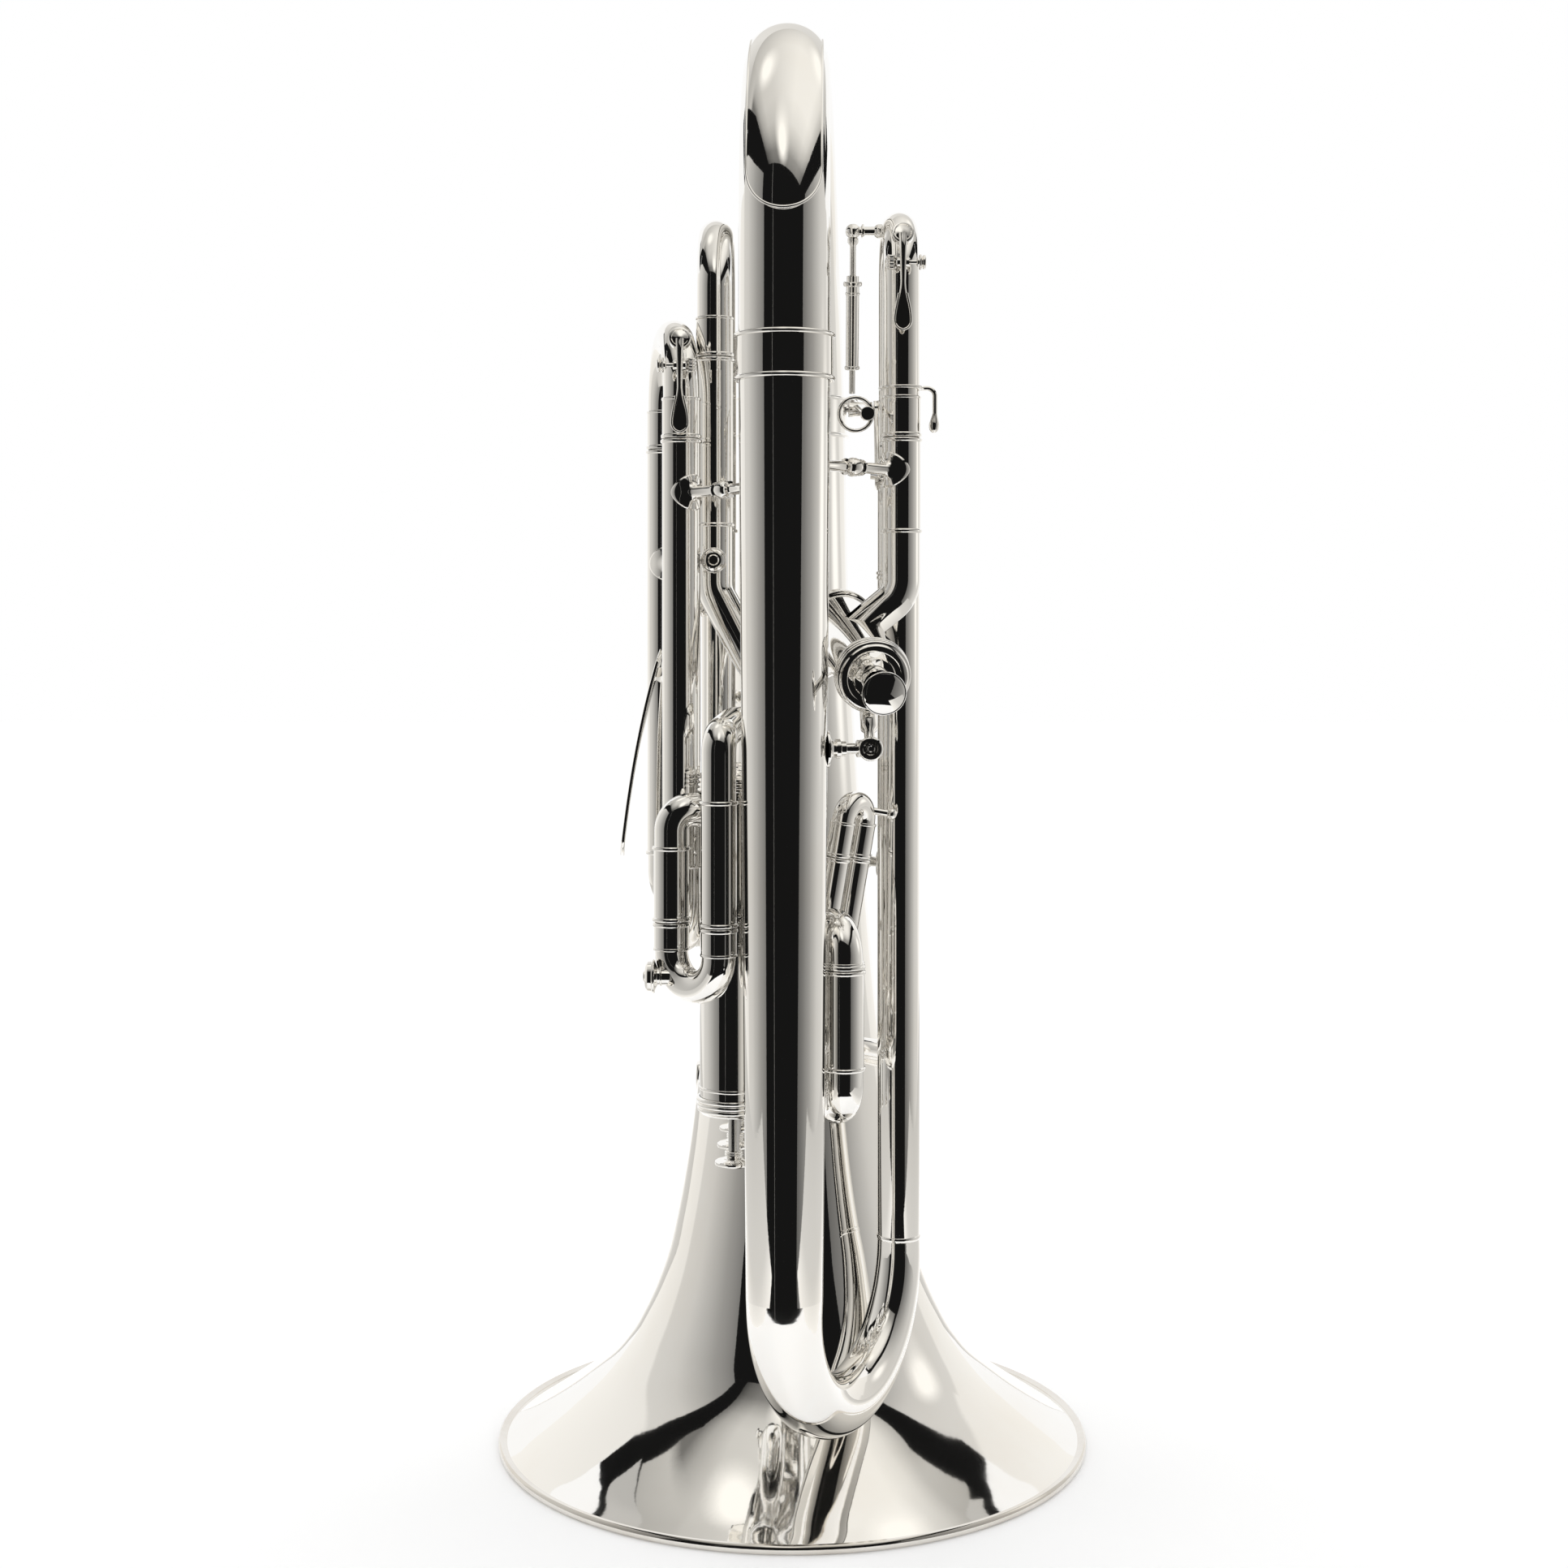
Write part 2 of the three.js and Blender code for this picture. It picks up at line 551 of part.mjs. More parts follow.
// Upper slide: its front tube runs down and across to the side valve, its back tube down to the third casing
const upperFrontCorners = [at(upper.a, upperFoot.dropZ), point(upperFoot.lowPoint), point(upperFoot.end)];
const thirdCasing = casingColumn(2);
const upperBackCorners = [at(upper.b, upperFoot.backZ), at(thirdCasing, upperFoot.backZ)];
addPart(
  'upper_tube_front',
  sleeveWithFoot(upper.a, upper.lowZ, upper.seatZ, upperFrontCorners, upperFoot.bend, slideTube),
);
addPart(
  'upper_tube_back',
  sleeveWithFoot(upper.b, upper.lowZ, upper.seatZ, upperBackCorners, upperFoot.bend, slideTube),
);
addPart('upper_slide', makeCrook(upper.a, upper.b, upper, upper.insert));

// Third slide: the crook hangs below two sleeves beside the first casing
const thirdFrontCorners = [at(third.a, thirdHead.riseZ), point(thirdHead.over), point(thirdHead.beside)];
thirdFrontCorners.push(point(thirdEnd.drop), point(thirdEnd.end));
const thirdBackCorners = [at(third.b, thirdEnd.elbowZ), at(casingColumn(0), thirdEnd.elbowZ)];
addPart(
  'third_tube_front',
  sleeveWithFoot(third.a, third.topZ, third.seatZ, thirdFrontCorners, thirdHead.bend, smallTube),
);
addPart(
  'third_tube_back',
  sleeveWithFoot(third.b, third.backTopZ, third.seatZ, thirdBackCorners, thirdHead.bend, smallTube),
);
addPart('third_slide', makeCrook(third.a, third.b, third, third.insert, smallTube.radius, smallTube.inner));

// Second slide: a short loop on the right of the casings with its crook on top
const secondFrontCorners = [
  at(second.a, secondFoot.z),
  at(secondFoot.turn, secondFoot.z),
  at(secondFoot.end, secondFoot.z),
];
const secondBackCorners = [at(second.b, secondFoot.backZ), at(casingColumn(0), secondFoot.backZ)];
const secondFront = sleeveWithFoot(
  second.a, second.lowZ, second.seatZ, secondFrontCorners, secondFoot.bend, slideTube,
);
addPart('second_tube_front', secondFront);
const secondBack = sleeveWithFoot(
  second.b, secondFoot.backLowZ, second.seatZ, secondBackCorners, thirdHead.bend, slideTube,
);
addPart('second_tube_back', secondBack);
addPart('second_slide', makeCrook(second.a, second.b, second, second.insert));

// Mouthpipe: wraps round the bell from the third casing to the receiver behind it
function mouthpipeRoute() {
  const { wrapRadius, startZ, endZ } = mouthpipe;
  const { startAngle, endAngle } = wrap;
  const points = [at(thirdCasing, startZ)];
  for (let i = 0; i <= wrapSteps; i += 1) {
    const angle = mixed(startAngle, endAngle, i / wrapSteps);
    const z = mixed(startZ, endZ, i / wrapSteps);
    points.push(v(Math.cos(angle) * wrapRadius, Math.sin(angle) * wrapRadius, z));
  }
  points.push(v(-mouthpipe.radius, wrapRadius, endZ));
  return points;
}
addPart('mouthpipe', clearOfValves(tube(mouthpipeRoute(), mouthpipe.radius, smallSides)));

function makeReceiver() {
  const { length, mouthRadius, shankBore, lipLength, depth } = receiver;
  const start = v(-mouthpipe.radius - clearance, mouthpipe.wrapRadius, mouthpipe.endZ);
  const end = start.clone().add(v(-length, 0, 0));
  const root = mouthpipe.radius + mouthpipe.radius / 6;
  const lip = length - lipLength;
  const outside = [[root, 0], [mouthRadius - clearance, lip], [mouthRadius, lip], [mouthRadius, length]];
  const bore = [[shankBore, length], [mouthpipe.radius, length - depth]];
  return turned([[0, 0], ...outside, ...bore, [0, length - depth]], start, end, bowSides - 2);
}
addPart('mouthpiece_receiver', makeReceiver());

// First slide: two thin tubes that lean to the right, made upright and leaned about the top of their crook
function lean(geometry) {
  const { a, topZ } = first;
  return geometry.translate(-a.x, 0, -topZ).rotateY(leanAngle).translate(a.x, 0, topZ);
}
function leanPoint(x, y, z) {
  const { a, topZ } = first;
  return v(x - a.x, y, z - topZ).applyAxisAngle(v(0, 1, 0), leanAngle).add(v(a.x, 0, topZ));
}
const secondCasing = casingColumn(1);
function firstTube(column, cornerZ) {
  const lowZ = first.topZ - first.length;
  const straight = lean(sleeveOf(column, lowZ, first.topZ - first.seatDrop, [true, true], tinyTube));
  const start = leanPoint(column.x, column.y, lowZ + slideTube.bead);
  const corner = leanPoint(column.x, column.y, cornerZ);
  const end = v(firstFoot.endX, secondCasing.y, corner.z);
  const foot = tube(route([start, corner, end], firstFoot.bend, footSteps), tinyTube.radius - clearance / 4);
  return clearOfValves(join(straight, foot));
}
addPart('first_tube_front', firstTube(first.a, firstFoot.frontZ));
addPart('first_tube_back', firstTube(first.b, firstFoot.backZ));
const firstLoop = { seatZ: first.topZ - first.seatDrop, crookZ: first.topZ };
addPart(
  'first_slide',
  lean(makeCrook(first.a, first.b, firstLoop, first.insert, tinyTube.radius, tinyTube.inner)),
);

const boreSpace = casing.bore + clearance;

// Braces: flanged rods between two upright tubes, each cut to the curve of what it meets
function bellRadiusAt(z) {
  const share = z / bellHeight;
  const next = bellShares.findIndex(([height]) => height >= share);
  const [lowHeight, lowRadius] = bellShares[next - 1];
  const [highHeight, highRadius] = bellShares[next];
  return bell.rimRadius * mixed(lowRadius, highRadius, (share - lowHeight) / (highHeight - lowHeight));
}
const legRadiusAt = (z) => mixed(leg.topRadius, leg.lowRadius, (leg.topZ - z) / (leg.topZ - uTopZ));
const facetGap = (radius, sides) => radius * (1 / Math.cos(Math.PI / sides) - 1) + clearance;

function flangedRod(from, to, reachA, reachB) {
  const length = from.distanceTo(to);
  const { rod: thin, flange, flangeThickness, knuckle } = brace;
  const middle = length / 2;
  const a = reachA + flangeThickness;
  const b = length - reachB - flangeThickness;
  const profile = [[0, 0], [flange, 0], [flange, a - flangeThickness / 2], [thin, a + flangeThickness]];
  if (b - a > 6 * knuckle) profile.push(
    [thin, middle - knuckle], [knuckle, middle], [thin, middle + knuckle],
  );
  profile.push([thin, b - flangeThickness], [flange, b + flangeThickness / 2], [flange, length], [0, length]);
  return turned(profile, from, to, smallSides);
}

function upright(column, z, lowRadius, highRadius = lowRadius) {
  const half = brace.flange + brace.flangeThickness;
  const low = at(column, z - half);
  const reach = (radius) => radius + facetGap(radius, turnedSides);
  return rod(low, at(column, z + half), reach(lowRadius), reach(highRadius));
}

// A brace runs from a, where it is cut clear, to b, which carries it and whose bore it stops short of
function makeBrace(a, radiusA, b, radiusB, boreB, z, taper = 0) {
  const away = at(b, z).sub(at(a, z)).normalize();
  const sinkA = Math.min(brace.flange, radiusA / 2);
  const sinkB = Math.min(brace.flange, radiusB / 2);
  const from = at(a, z).addScaledVector(away, radiusA - sinkA);
  const to = at(b, z).addScaledVector(away, sinkB - radiusB);
  const whole = flangedRod(from, to, sinkA, sinkB);
  const inside = rod(at(b, z - casing.radius), at(b, z + casing.radius), boreB, boreB, casingSides);
  return cut(whole, upright(a, z, radiusA + taper, radiusA - taper), inside);
}

function weld(name, geometry) {
  const mesh = euphonium.getObjectByName(name);
  mesh.geometry = join(mesh.geometry, geometry);
}
const firstCasing = casingColumn(0);
const bellTaper = 0.5;
const wallDepth = 0.35;
const solidBore = wallDepth / 4;
const slideBore = slideTube.radius - wallDepth;
const braceLevels = {
  fourth: fourth.seatZ - braceDrops.fourth,
  tuning: tuning.seatZ - braceDrops.tuning,
  legToValves: casing.topZ - braceDrops.legToValves,
  upperToBell: upper.lowZ - braceDrops.upperToBell,
  branch: branch.topZ - braceDrops.branch,
  valvesToBell: casing.topZ - braceDrops.valvesToBell,
};
const crossLevels = {
  fourthToUpper: fourth.seatZ - crossDrops.fourthToUpper,
  tuning: tuning.seatZ - crossDrops.tuning,
  upper: upper.seatZ - crossDrops.upper,
  fourth: fourth.seatZ - crossDrops.fourth,
  third: third.seatZ + crossDrops.aboveThirdSeat,
};
const { radius: wide } = slideTube;
const legBrace = (z) => [leg, legRadiusAt(z)];
const bellBrace = (z) => [bellAxis, bellRadiusAt(z)];
const braceTable = [
  ['fourth_tube_front', ...legBrace(braceLevels.fourth), fourth.a, wide, slideBore, braceLevels.fourth],
  ['tuning_sleeve_front', ...legBrace(braceLevels.tuning), tuning.front, wide, slideBore, braceLevels.tuning],
  [
    'valve_1_casing', ...legBrace(braceLevels.legToValves), firstCasing, casing.radius, boreSpace,
    braceLevels.legToValves,
  ],
  [
    'upper_tube_back', ...bellBrace(braceLevels.upperToBell), upper.b, wide, solidBore,
    braceLevels.upperToBell, bellTaper,
  ],
  [
    'branch_tube', ...bellBrace(braceLevels.branch), branch, branch.radius, solidBore, braceLevels.branch,
    bellTaper,
  ],
  [
    'valve_3_casing', ...bellBrace(braceLevels.valvesToBell), thirdCasing, casing.radius, boreSpace,
    braceLevels.valvesToBell, bellTaper,
  ],
  ['fourth_tube_back', upper.b, wide, fourth.b, wide, slideBore, crossLevels.fourthToUpper],
  ['tuning_sleeve_back', tuning.front, wide, tuningBack, wide, slideBore, crossLevels.tuning],
  ['upper_tube_front', upper.b, wide, upper.a, wide, slideBore, crossLevels.upper],
  ['fourth_tube_front', fourth.b, wide, fourth.a, wide, slideBore, crossLevels.fourth],
  [
    'third_tube_back', fourth.a, wide, third.b, smallTube.radius, smallTube.radius - wallDepth,
    crossLevels.third,
  ],
];
braceTable.forEach(([name, ...row]) => weld(name, makeBrace(...row)));

// Side valve's stay: a rod from the main leg to a ball, and a strut from the ball up to the side valve
const ballAt = (centre, radius) => new THREE.SphereGeometry(radius, 8, 6).translate(
  centre.x, centre.y, centre.z,
);
function makeSideStay() {
  const ball = point(stay.ball);
  const legWall = v(leg.x + legRadiusAt(stay.ball.z) - stay.rod, leg.y, stay.ball.z);
  const flangeEnd = legWall.clone().lerp(
    ball, (2 * brace.flangeThickness + stay.rod) / legWall.distanceTo(ball),
  );
  const flange = rod(legWall, flangeEnd, brace.flange, stay.rod, smallSides);
  const cross = rod(legWall, ball, stay.rod, stay.rod, smallSides);
  const strut = rod(ball, point(stay.top), stay.rod, stay.rod, smallSides);
  const bore = rod(sideStart, sideEnd, boreSpace, boreSpace, casingSides);
  const whole = join(flange, cross, strut, ballAt(ball, stay.knob));
  return cut(whole, upright(leg, stay.ball.z, legRadiusAt(stay.ball.z)), bore, sideKeepOuts[1]);
}
weld('valve_4_casing', makeSideStay());

// Short tubes between neighbouring casings
[0, 1].forEach((i) => {
  const near = casingColumn(i);
  const far = casingColumn(i + 1);
  [linkTube.lowZ, linkTube.highZ].forEach((z) => {
    const link = rod(at(near, z), at(far, z), linkTube.radius, linkTube.radius, tubeSides);
    const bore = rod(at(near, casing.lowZ), at(near, casing.topZ), boreSpace, boreSpace, casingSides);
    const farRadius = casing.radius + wallGap;
    const farWall = rod(at(far, casing.lowZ), at(far, casing.topZ), farRadius, farRadius, casingSides);
    weld(`valve_${i + 1}_casing`, cut(link, bore, farWall));
  });
});

// Trigger: an eye plate on the front tuning sleeve, a lever on its pin and a rod up to the tuning crook
function makeTriggerPlate() {
  const shape = new THREE.Shape();
  shape.moveTo(trigger.footFront, trigger.footLow);
  shape.lineTo(trigger.footBack, trigger.footLow);
  shape.lineTo(trigger.y + trigger.eye, trigger.z);
  shape.absarc(trigger.y, trigger.z, trigger.eye, 0, Math.PI, false);
  shape.lineTo(trigger.footFront, trigger.padHigh);
  const plate = new THREE.ExtrudeGeometry(
    shape, { depth: trigger.plate, bevelEnabled: false, curveSegments: 4 },
  );
  const frame = new THREE.Matrix4().makeBasis(v(0, 1, 0), v(0, 0, 1), v(1, 0, 0));
  plate.applyMatrix4(frame).translate(trigger.x, 0, 0);
  const padWidth = tuning.front.x - trigger.x;
  const padHeight = trigger.padHigh - trigger.padLow;
  const pad = new THREE.BoxGeometry(padWidth, slideTube.radius, padHeight);
  pad.translate(trigger.x + padWidth / 2, tuning.front.y, trigger.padLow + padHeight / 2);
  const inside = rod(
    at(tuning.front, tuning.lowZ), at(tuning.front, tuning.seatZ), slideBore, slideBore, tubeSides,
  );
  const pinStart = v(trigger.x + trigger.plate / 2, trigger.y, trigger.z);
  const pinEnd = v(trigger.x - triggerPin.length, trigger.y, trigger.z);
  const pin = rod(pinStart, pinEnd, triggerPin.radius, triggerPin.radius, smallSides);
  const head = rod(
    pinEnd, pinEnd.clone().add(v(-triggerPin.headLength, 0, 0)), triggerPin.head, triggerPin.head,
    smallSides,
  );
  const crookRadius = slideTube.radius + facetGap(slideTube.radius, turnedSides);
  const crookSpace = rod(at(tuning.front, tuning.seatZ), at(tuning.front, tuning.crookZ), crookRadius);
  return cut(join(plate, pad, pin, head), inside, crookSpace);
}
weld('tuning_sleeve_front', makeTriggerPlate());

function makeTriggerLever() {
  const hubStart = v(trigger.x - clearance, trigger.y, trigger.z);
  const hubEnd = v(trigger.x - lever.length, trigger.y, trigger.z);
  const hub = rod(hubStart, hubEnd, lever.hub, lever.hub, tubeSides);
  const past = v(lever.hub, 0, 0);
  const bore = rod(hubStart.clone().add(past), hubEnd.clone().sub(past), lever.bore, lever.bore, smallSides);
  const pivot = v(lever.x, trigger.y, trigger.z);
  const ballPoint = v(lever.x, trigger.y + lever.reach, trigger.z + lever.rise);
  const arm = rod(pivot, ballPoint, lever.arm, lever.arm, smallSides);
  const ball = ballAt(ballPoint, lever.ball);
  const pad = v(thumb.x, trigger.y - thumb.reach, trigger.z - thumb.drop);
  const stalk = rod(pivot, pad, lever.arm, lever.arm, smallSides);
  const disc = rod(pad, pad.clone().add(v(0, -thumb.thickness, 0)), thumb.radius, thumb.radius);
  return cut(join(hub, arm, ball, stalk, disc), bore);
}
addPart('trigger_lever', makeTriggerLever());

const crookMiddleY = (tuning.front.y + branch.y) / 2;
const stubStart = v(tuning.front.x, crookMiddleY, linkRod.stubZ);
const stubEnd = v(lever.x, crookMiddleY, linkRod.stubZ);
const knuckle = ballAt(stubEnd, linkRod.knuckle);
weld(
  'tuning_slide',
  join(rod(stubStart, stubEnd, linkRod.stubRadius, linkRod.stubRadius, smallSides), knuckle),
);

function makeLinkRod() {
  const low = v(lever.x, trigger.y + lever.reach, trigger.z + lever.rise + lever.ball + linkRod.gap);
  const start = stubEnd.clone().lerp(low, (linkRod.knuckle + clearance) / stubEnd.distanceTo(low));
  const length = start.distanceTo(low);
  const collar = length * rodShares.collar;
  const end = length * rodShares.end;
  const { thin, tube: wideTube, collar: ring } = linkRod;
  const upper = [[0, 0], [thin * 2, 0], [thin * 2, thin], [thin, thin * 2], [thin, collar], [ring, collar]];
  const wideStart = collar + thin;
  const lower = [
    [ring, wideStart], [wideTube, wideStart], [wideTube, end], [thin, end], [thin, length], [0, length],
  ];
  return turned([...upper, ...lower], start, low, smallSides);
}
addPart('trigger_rod', makeLinkRod());

// Water keys: a spoon on a cross hinge in front of a crook, its pad on the tube
function keyHingeY(column) {
  return column.y - slideTube.radius - keys.standOff;
}
function addWaterKey(name, slideName, column, key, crook) {
  const y = keyHingeY(column);
  const shape = new THREE.Shape();
  shape.moveTo(-keys.neck, key.hingeZ);
  shape.absarc(0, key.padZ, keys.pad, Math.PI, 0, true);
  shape.lineTo(keys.neck, key.hingeZ);
  shape.absarc(0, key.spoonZ, keys.spoon, 0, Math.PI, true);
  shape.closePath();
  const plate = new THREE.ExtrudeGeometry(
    shape, { depth: keys.plate, bevelEnabled: false, curveSegments: 5 },
  );
  plate.applyMatrix4(new THREE.Matrix4().makeBasis(v(1, 0, 0), v(0, 0, 1), v(0, -1, 0)));
  plate.translate(column.x, y + keys.plate / 2, 0);
  const hub = v(column.x, y, key.hingeZ);
  const half = v((key.side * keys.hubLength) / 2, 0, 0);
  const screwEnd = v(key.side * keys.screwLength, 0, 0);
  const axle = rod(hub.clone().sub(half), hub.clone().add(half), keys.hub, keys.hub, smallSides);
  const screwStart = hub.clone().add(half);
  const screw = rod(screwStart, screwStart.clone().add(screwEnd), keys.screw, keys.screw, smallSides);
  const padPoint = v(column.x, y, key.padZ);
  const pad = rod(padPoint, at(column, key.padZ), keys.pad - clearance, keys.pad - clearance, smallSides);
  addPart(name, cut(join(plate, axle, screw, pad), crook));
  const lug = rod(
    at(column, key.hingeZ), hub.clone().add(v(0, keys.hub, 0)), keys.neck, keys.neck, smallSides,
  );
  const spaceRadius = keys.hub + facetGap(keys.hub, smallSides);
  const hubSpace = rod(hub.clone().sub(half), screwStart, spaceRadius, spaceRadius, smallSides);
  weld(slideName, cut(lug, hubSpace));
}
const fat = slideTube.radius + facetGap(slideTube.radius, tubeSides);
const fatCrook = (a, b, loop) => makeCrook(a, b, loop, loop.insert, fat, slideTube.radius);
const tuningCrookSpace = fatCrook(tuning.front, tuningBack, tuning);
const fourthCrookSpace = fatCrook(fourth.a, fourth.b, fourth);
addWaterKey('tuning_water_key', 'tuning_slide', tuning.front, tuningKey, tuningCrookSpace);
addWaterKey('fourth_water_key', 'fourth_slide', fourth.a, fourthKey, fourthCrookSpace);

// Push keys: a housing on the tube and a plunger that is pressed into it
function addPushKey(name, carrier, root, face) {
  const outward = face.clone().sub(root).normalize();
  const length = root.distanceTo(face);
  const head = length - nub.headLength;
  const profile = [[0, 0], [nub.neck, 0], [nub.neck, head], [nub.head, head], [nub.head, length]];
  const housing = turned(
    [...profile, [nub.bore, length], [nub.bore, head], [0, head]], root, face, tubeSides,
  );
  weld(carrier, housing);
  const floor = root.clone().addScaledVector(outward, head + nub.proud);
  const tip = face.clone().addScaledVector(outward, nub.proud / 2);
  addPart(name, rod(floor, tip, nub.plunger, nub.plunger, smallSides));
}
const thirdRoot = v(thirdKey.innerX, thirdKey.y, thirdKey.z);
addPushKey('third_water_key', 'third_slide', thirdRoot, v(thirdKey.outerX, thirdKey.y, thirdKey.z));
const amadoRoot = at(upper.a, amadoKey.z);
const amadoFace = amadoRoot.clone().add(v(0, -slideTube.radius - amadoKey.reach, 0));
addPushKey('upper_water_key', 'upper_tube_front', amadoRoot, amadoFace);

// Hand rest: a curved strip held off the back tube of the fourth slide
function makeHandRest() {
  const { topZ, lowZ, near, far, bulge, bulgeZ, thickness, width, y, foot, footZ } = handRest;
  const shape = new THREE.Shape();
  shape.moveTo(near, topZ);
  shape.quadraticCurveTo(bulge, bulgeZ, far, lowZ);
  shape.lineTo(far - thickness, lowZ);
  shape.quadraticCurveTo(bulge - thickness, bulgeZ, near - thickness, topZ);
  shape.closePath();
  const strip = new THREE.ExtrudeGeometry(shape, { depth: width, bevelEnabled: false, curveSegments: 8 });
  strip.applyMatrix4(new THREE.Matrix4().makeBasis(v(1, 0, 0), v(0, 0, 1), v(0, -1, 0)));
  strip.translate(0, y + width / 2, 0);
  const post = rod(v(near - foot, y, footZ), at(fourth.b, footZ), foot, foot, smallSides);
  return cut(join(strip, post), upright(fourth.b, footZ, slideTube.radius));
}
addPart('hand_rest', makeHandRest());

// The frame's origin is the middle of the footprint, on the surface that the bell stands on
const bounds = new THREE.Box3().setFromObject(euphonium);
const middle = bounds.getCenter(v(0, 0, 0));
euphonium.position.set(-middle.x, -middle.y, 0);

export default euphonium;
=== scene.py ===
"""Looks for a silver-plated compensating euphonium that stands on its bell.

Sizes are in millimetres beside the bell's axis, as in the solids, and the frame gives the axis's place. The studio's
sizes are in metres. Each piece is rebuilt smooth, because polished silver shows every facet.
"""

import math
from types import SimpleNamespace as Sizes

import bmesh
import bpy
import numpy as np
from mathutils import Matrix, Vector


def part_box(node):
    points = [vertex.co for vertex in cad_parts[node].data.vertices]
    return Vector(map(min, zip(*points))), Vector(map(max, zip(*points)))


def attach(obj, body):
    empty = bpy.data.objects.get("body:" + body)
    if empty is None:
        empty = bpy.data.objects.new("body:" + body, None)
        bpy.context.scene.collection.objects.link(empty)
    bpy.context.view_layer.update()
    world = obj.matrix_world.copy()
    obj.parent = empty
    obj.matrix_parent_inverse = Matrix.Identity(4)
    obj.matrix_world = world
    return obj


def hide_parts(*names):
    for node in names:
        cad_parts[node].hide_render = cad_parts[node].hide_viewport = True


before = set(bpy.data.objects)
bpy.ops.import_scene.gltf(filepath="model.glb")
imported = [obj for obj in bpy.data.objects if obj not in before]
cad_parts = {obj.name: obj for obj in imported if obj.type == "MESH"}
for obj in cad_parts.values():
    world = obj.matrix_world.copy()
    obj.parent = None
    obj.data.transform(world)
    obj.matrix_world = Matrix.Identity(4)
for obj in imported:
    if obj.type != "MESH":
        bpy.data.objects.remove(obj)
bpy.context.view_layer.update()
MM = 0.001
bell_low, bell_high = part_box("bell")
AXIS_SHIFT = (bell_low[1] + bell_high[1]) / 2 / MM

# Sizes of the solids, apart from the bell's flare near its rim, the hollow pistons and small turned details
CLEARANCE = 0.3
BELL = Sizes(rim=150, wall=1.2, bead=2.4, height=522)
BELL_SHARES = [
    (0.0046, 0.985), (0.0153, 0.916), (0.0268, 0.85), (0.0383, 0.79), (0.0536, 0.718), (0.0766, 0.625),
    (0.1015, 0.555), (0.1264, 0.505), (0.1724, 0.437), (0.22, 0.394), (0.27, 0.36), (0.364, 0.315),
    (0.46, 0.278), (0.594, 0.24), (0.766, 0.2), (1, 0.18),
]
LEG = Sizes(at=(-4, -165), top_radius=20.3, low_radius=17, top=533)
BOW = Sizes(centre=595, crown=20, gap=0.7, thickness=0.9)
GUARD = Sizes(tongue=17, length=212, half_angle=0.87, edge=0.7, inset=0.2)
BRANCH = Sizes(at=(51.2, -66), radius=10.2, top=440)
FOOT = Sizes(bottom=43, radius=14.6, straight=6)
FERRULE = Sizes(length=21, thickness=1.2, bead=2.2, proud=1.1)
WIDE = Sizes(radius=8.9, bore=8.2, inner=7.6)
SMALL = Sizes(radius=8, bore=7.3, inner=6.8)
TINY = Sizes(radius=5.9, bore=5.2, inner=4.7)
RING = Sizes(width=2.0, proud=0.8, ferrule=19)
TUNING = Sizes(a=(50, -115), b=(50, -66), seat=502, crook=611, low=458, insert=38)
ELBOW = Sizes(bend=14, drop=430, end=(31, -112, 414))
FOURTH = Sizes(a=(-52, -108), b=(-62.8, -46), seat=502, crook=562, low=303, insert=90)
FOURTH_FOOT = Sizes(z=270, turn_y=-70, bend=19, back_z=276, back_y=-48, reach_x=-32)
UPPER = Sizes(a=(-37, -90), b=(-37, -30), seat=542, crook=613, low=462, insert=60)
UPPER_FOOT = Sizes(bend=16, drop=432, dip=(-12, -100, 386), end=(27, -104, 406), back_z=312, back_bend=5)
THIRD = Sizes(a=(-33, -158.5), b=(-55, -138), seat=282, crook=246, top=338, back_top=316, insert=28)
THIRD_HEAD = Sizes(bend=9, rise=366, over=(-27, -132, 371), beside=(-2, -122, 371))
THIRD_END = Sizes(drop=(-1, -112, 330), end=(-20, -100, 320), elbow=332)
SECOND = Sizes(a=(22.6, -150), b=(14.5, -124), seat=262, crook=288, low=217, insert=22)
SECOND_FOOT = Sizes(z=200, turn=(13, -118), end=(-16, -96), bend=11, back_z=226, back_low=238)
FIRST = Sizes(a=(25.7, -105), b=(36, -90), top=339, seat_drop=32, length=74, insert=24)
FIRST_FOOT = Sizes(bend=7, front=246, back=232, end_x=-16)
FIRST_KNOB = Sizes(drop=9, reach=12, rod=1.6, ball=2.6)
LEAN = 0.165
CASING = Sizes(x=-27, pitch=35, first_y=-130, low=196, top=346, radius=15.5, bore=12.4, overlap=1.2)
CAP = Sizes(radius=17.2, length=8.6, thickness=2.4, bore=3.4)
PISTON = Sizes(length=88, stem=2.5, button=8.7, thickness=4.4, exposed=19, rest=3, dome=2.2, hollow=17.5)
SPRING = Sizes(radius=9.2, wire=0.8, turns=7, steps=28)
SIDE = Sizes(front=(35.6, -157, 392.4), back=(22.5, -62, 417.3), piston_share=0.55, button=9.8, exposed=20)
STAY = Sizes(ball=(34, -158, 361), knob=5, top=(33.2, -139, 384), rod=2.4)
LINK = Sizes(radius=5.5, levels=(232, 312))
WRAP = Sizes(radius=5.2, path=59.4, start_z=214, end_z=172, start=-1.38, end=math.pi / 2)
RECEIVER = Sizes(length=46, mouth=8.4, bore=6.3, lip=5, depth=26)
BRACE = Sizes(rod=2.6, flange=8.4, thickness=1.1, knuckle=4.4, plain=26)
BRACE_AT = Sizes(tuning=478, tuning_leg=487, branch=300, fourth_leg=477, fourth=446, upper_fourth=424, upper=500,
                 upper_bell=380, third=294, first_casing=286, third_casing=262)
TRIGGER = Sizes(x=37.6, y=-98, z=517, eye=4.2, plate=2.8, back=-108, front=-120, pad_low=476, pad_high=497)
PIN = Sizes(radius=1.6, length=12.6, head=3.1, head_length=1.5)
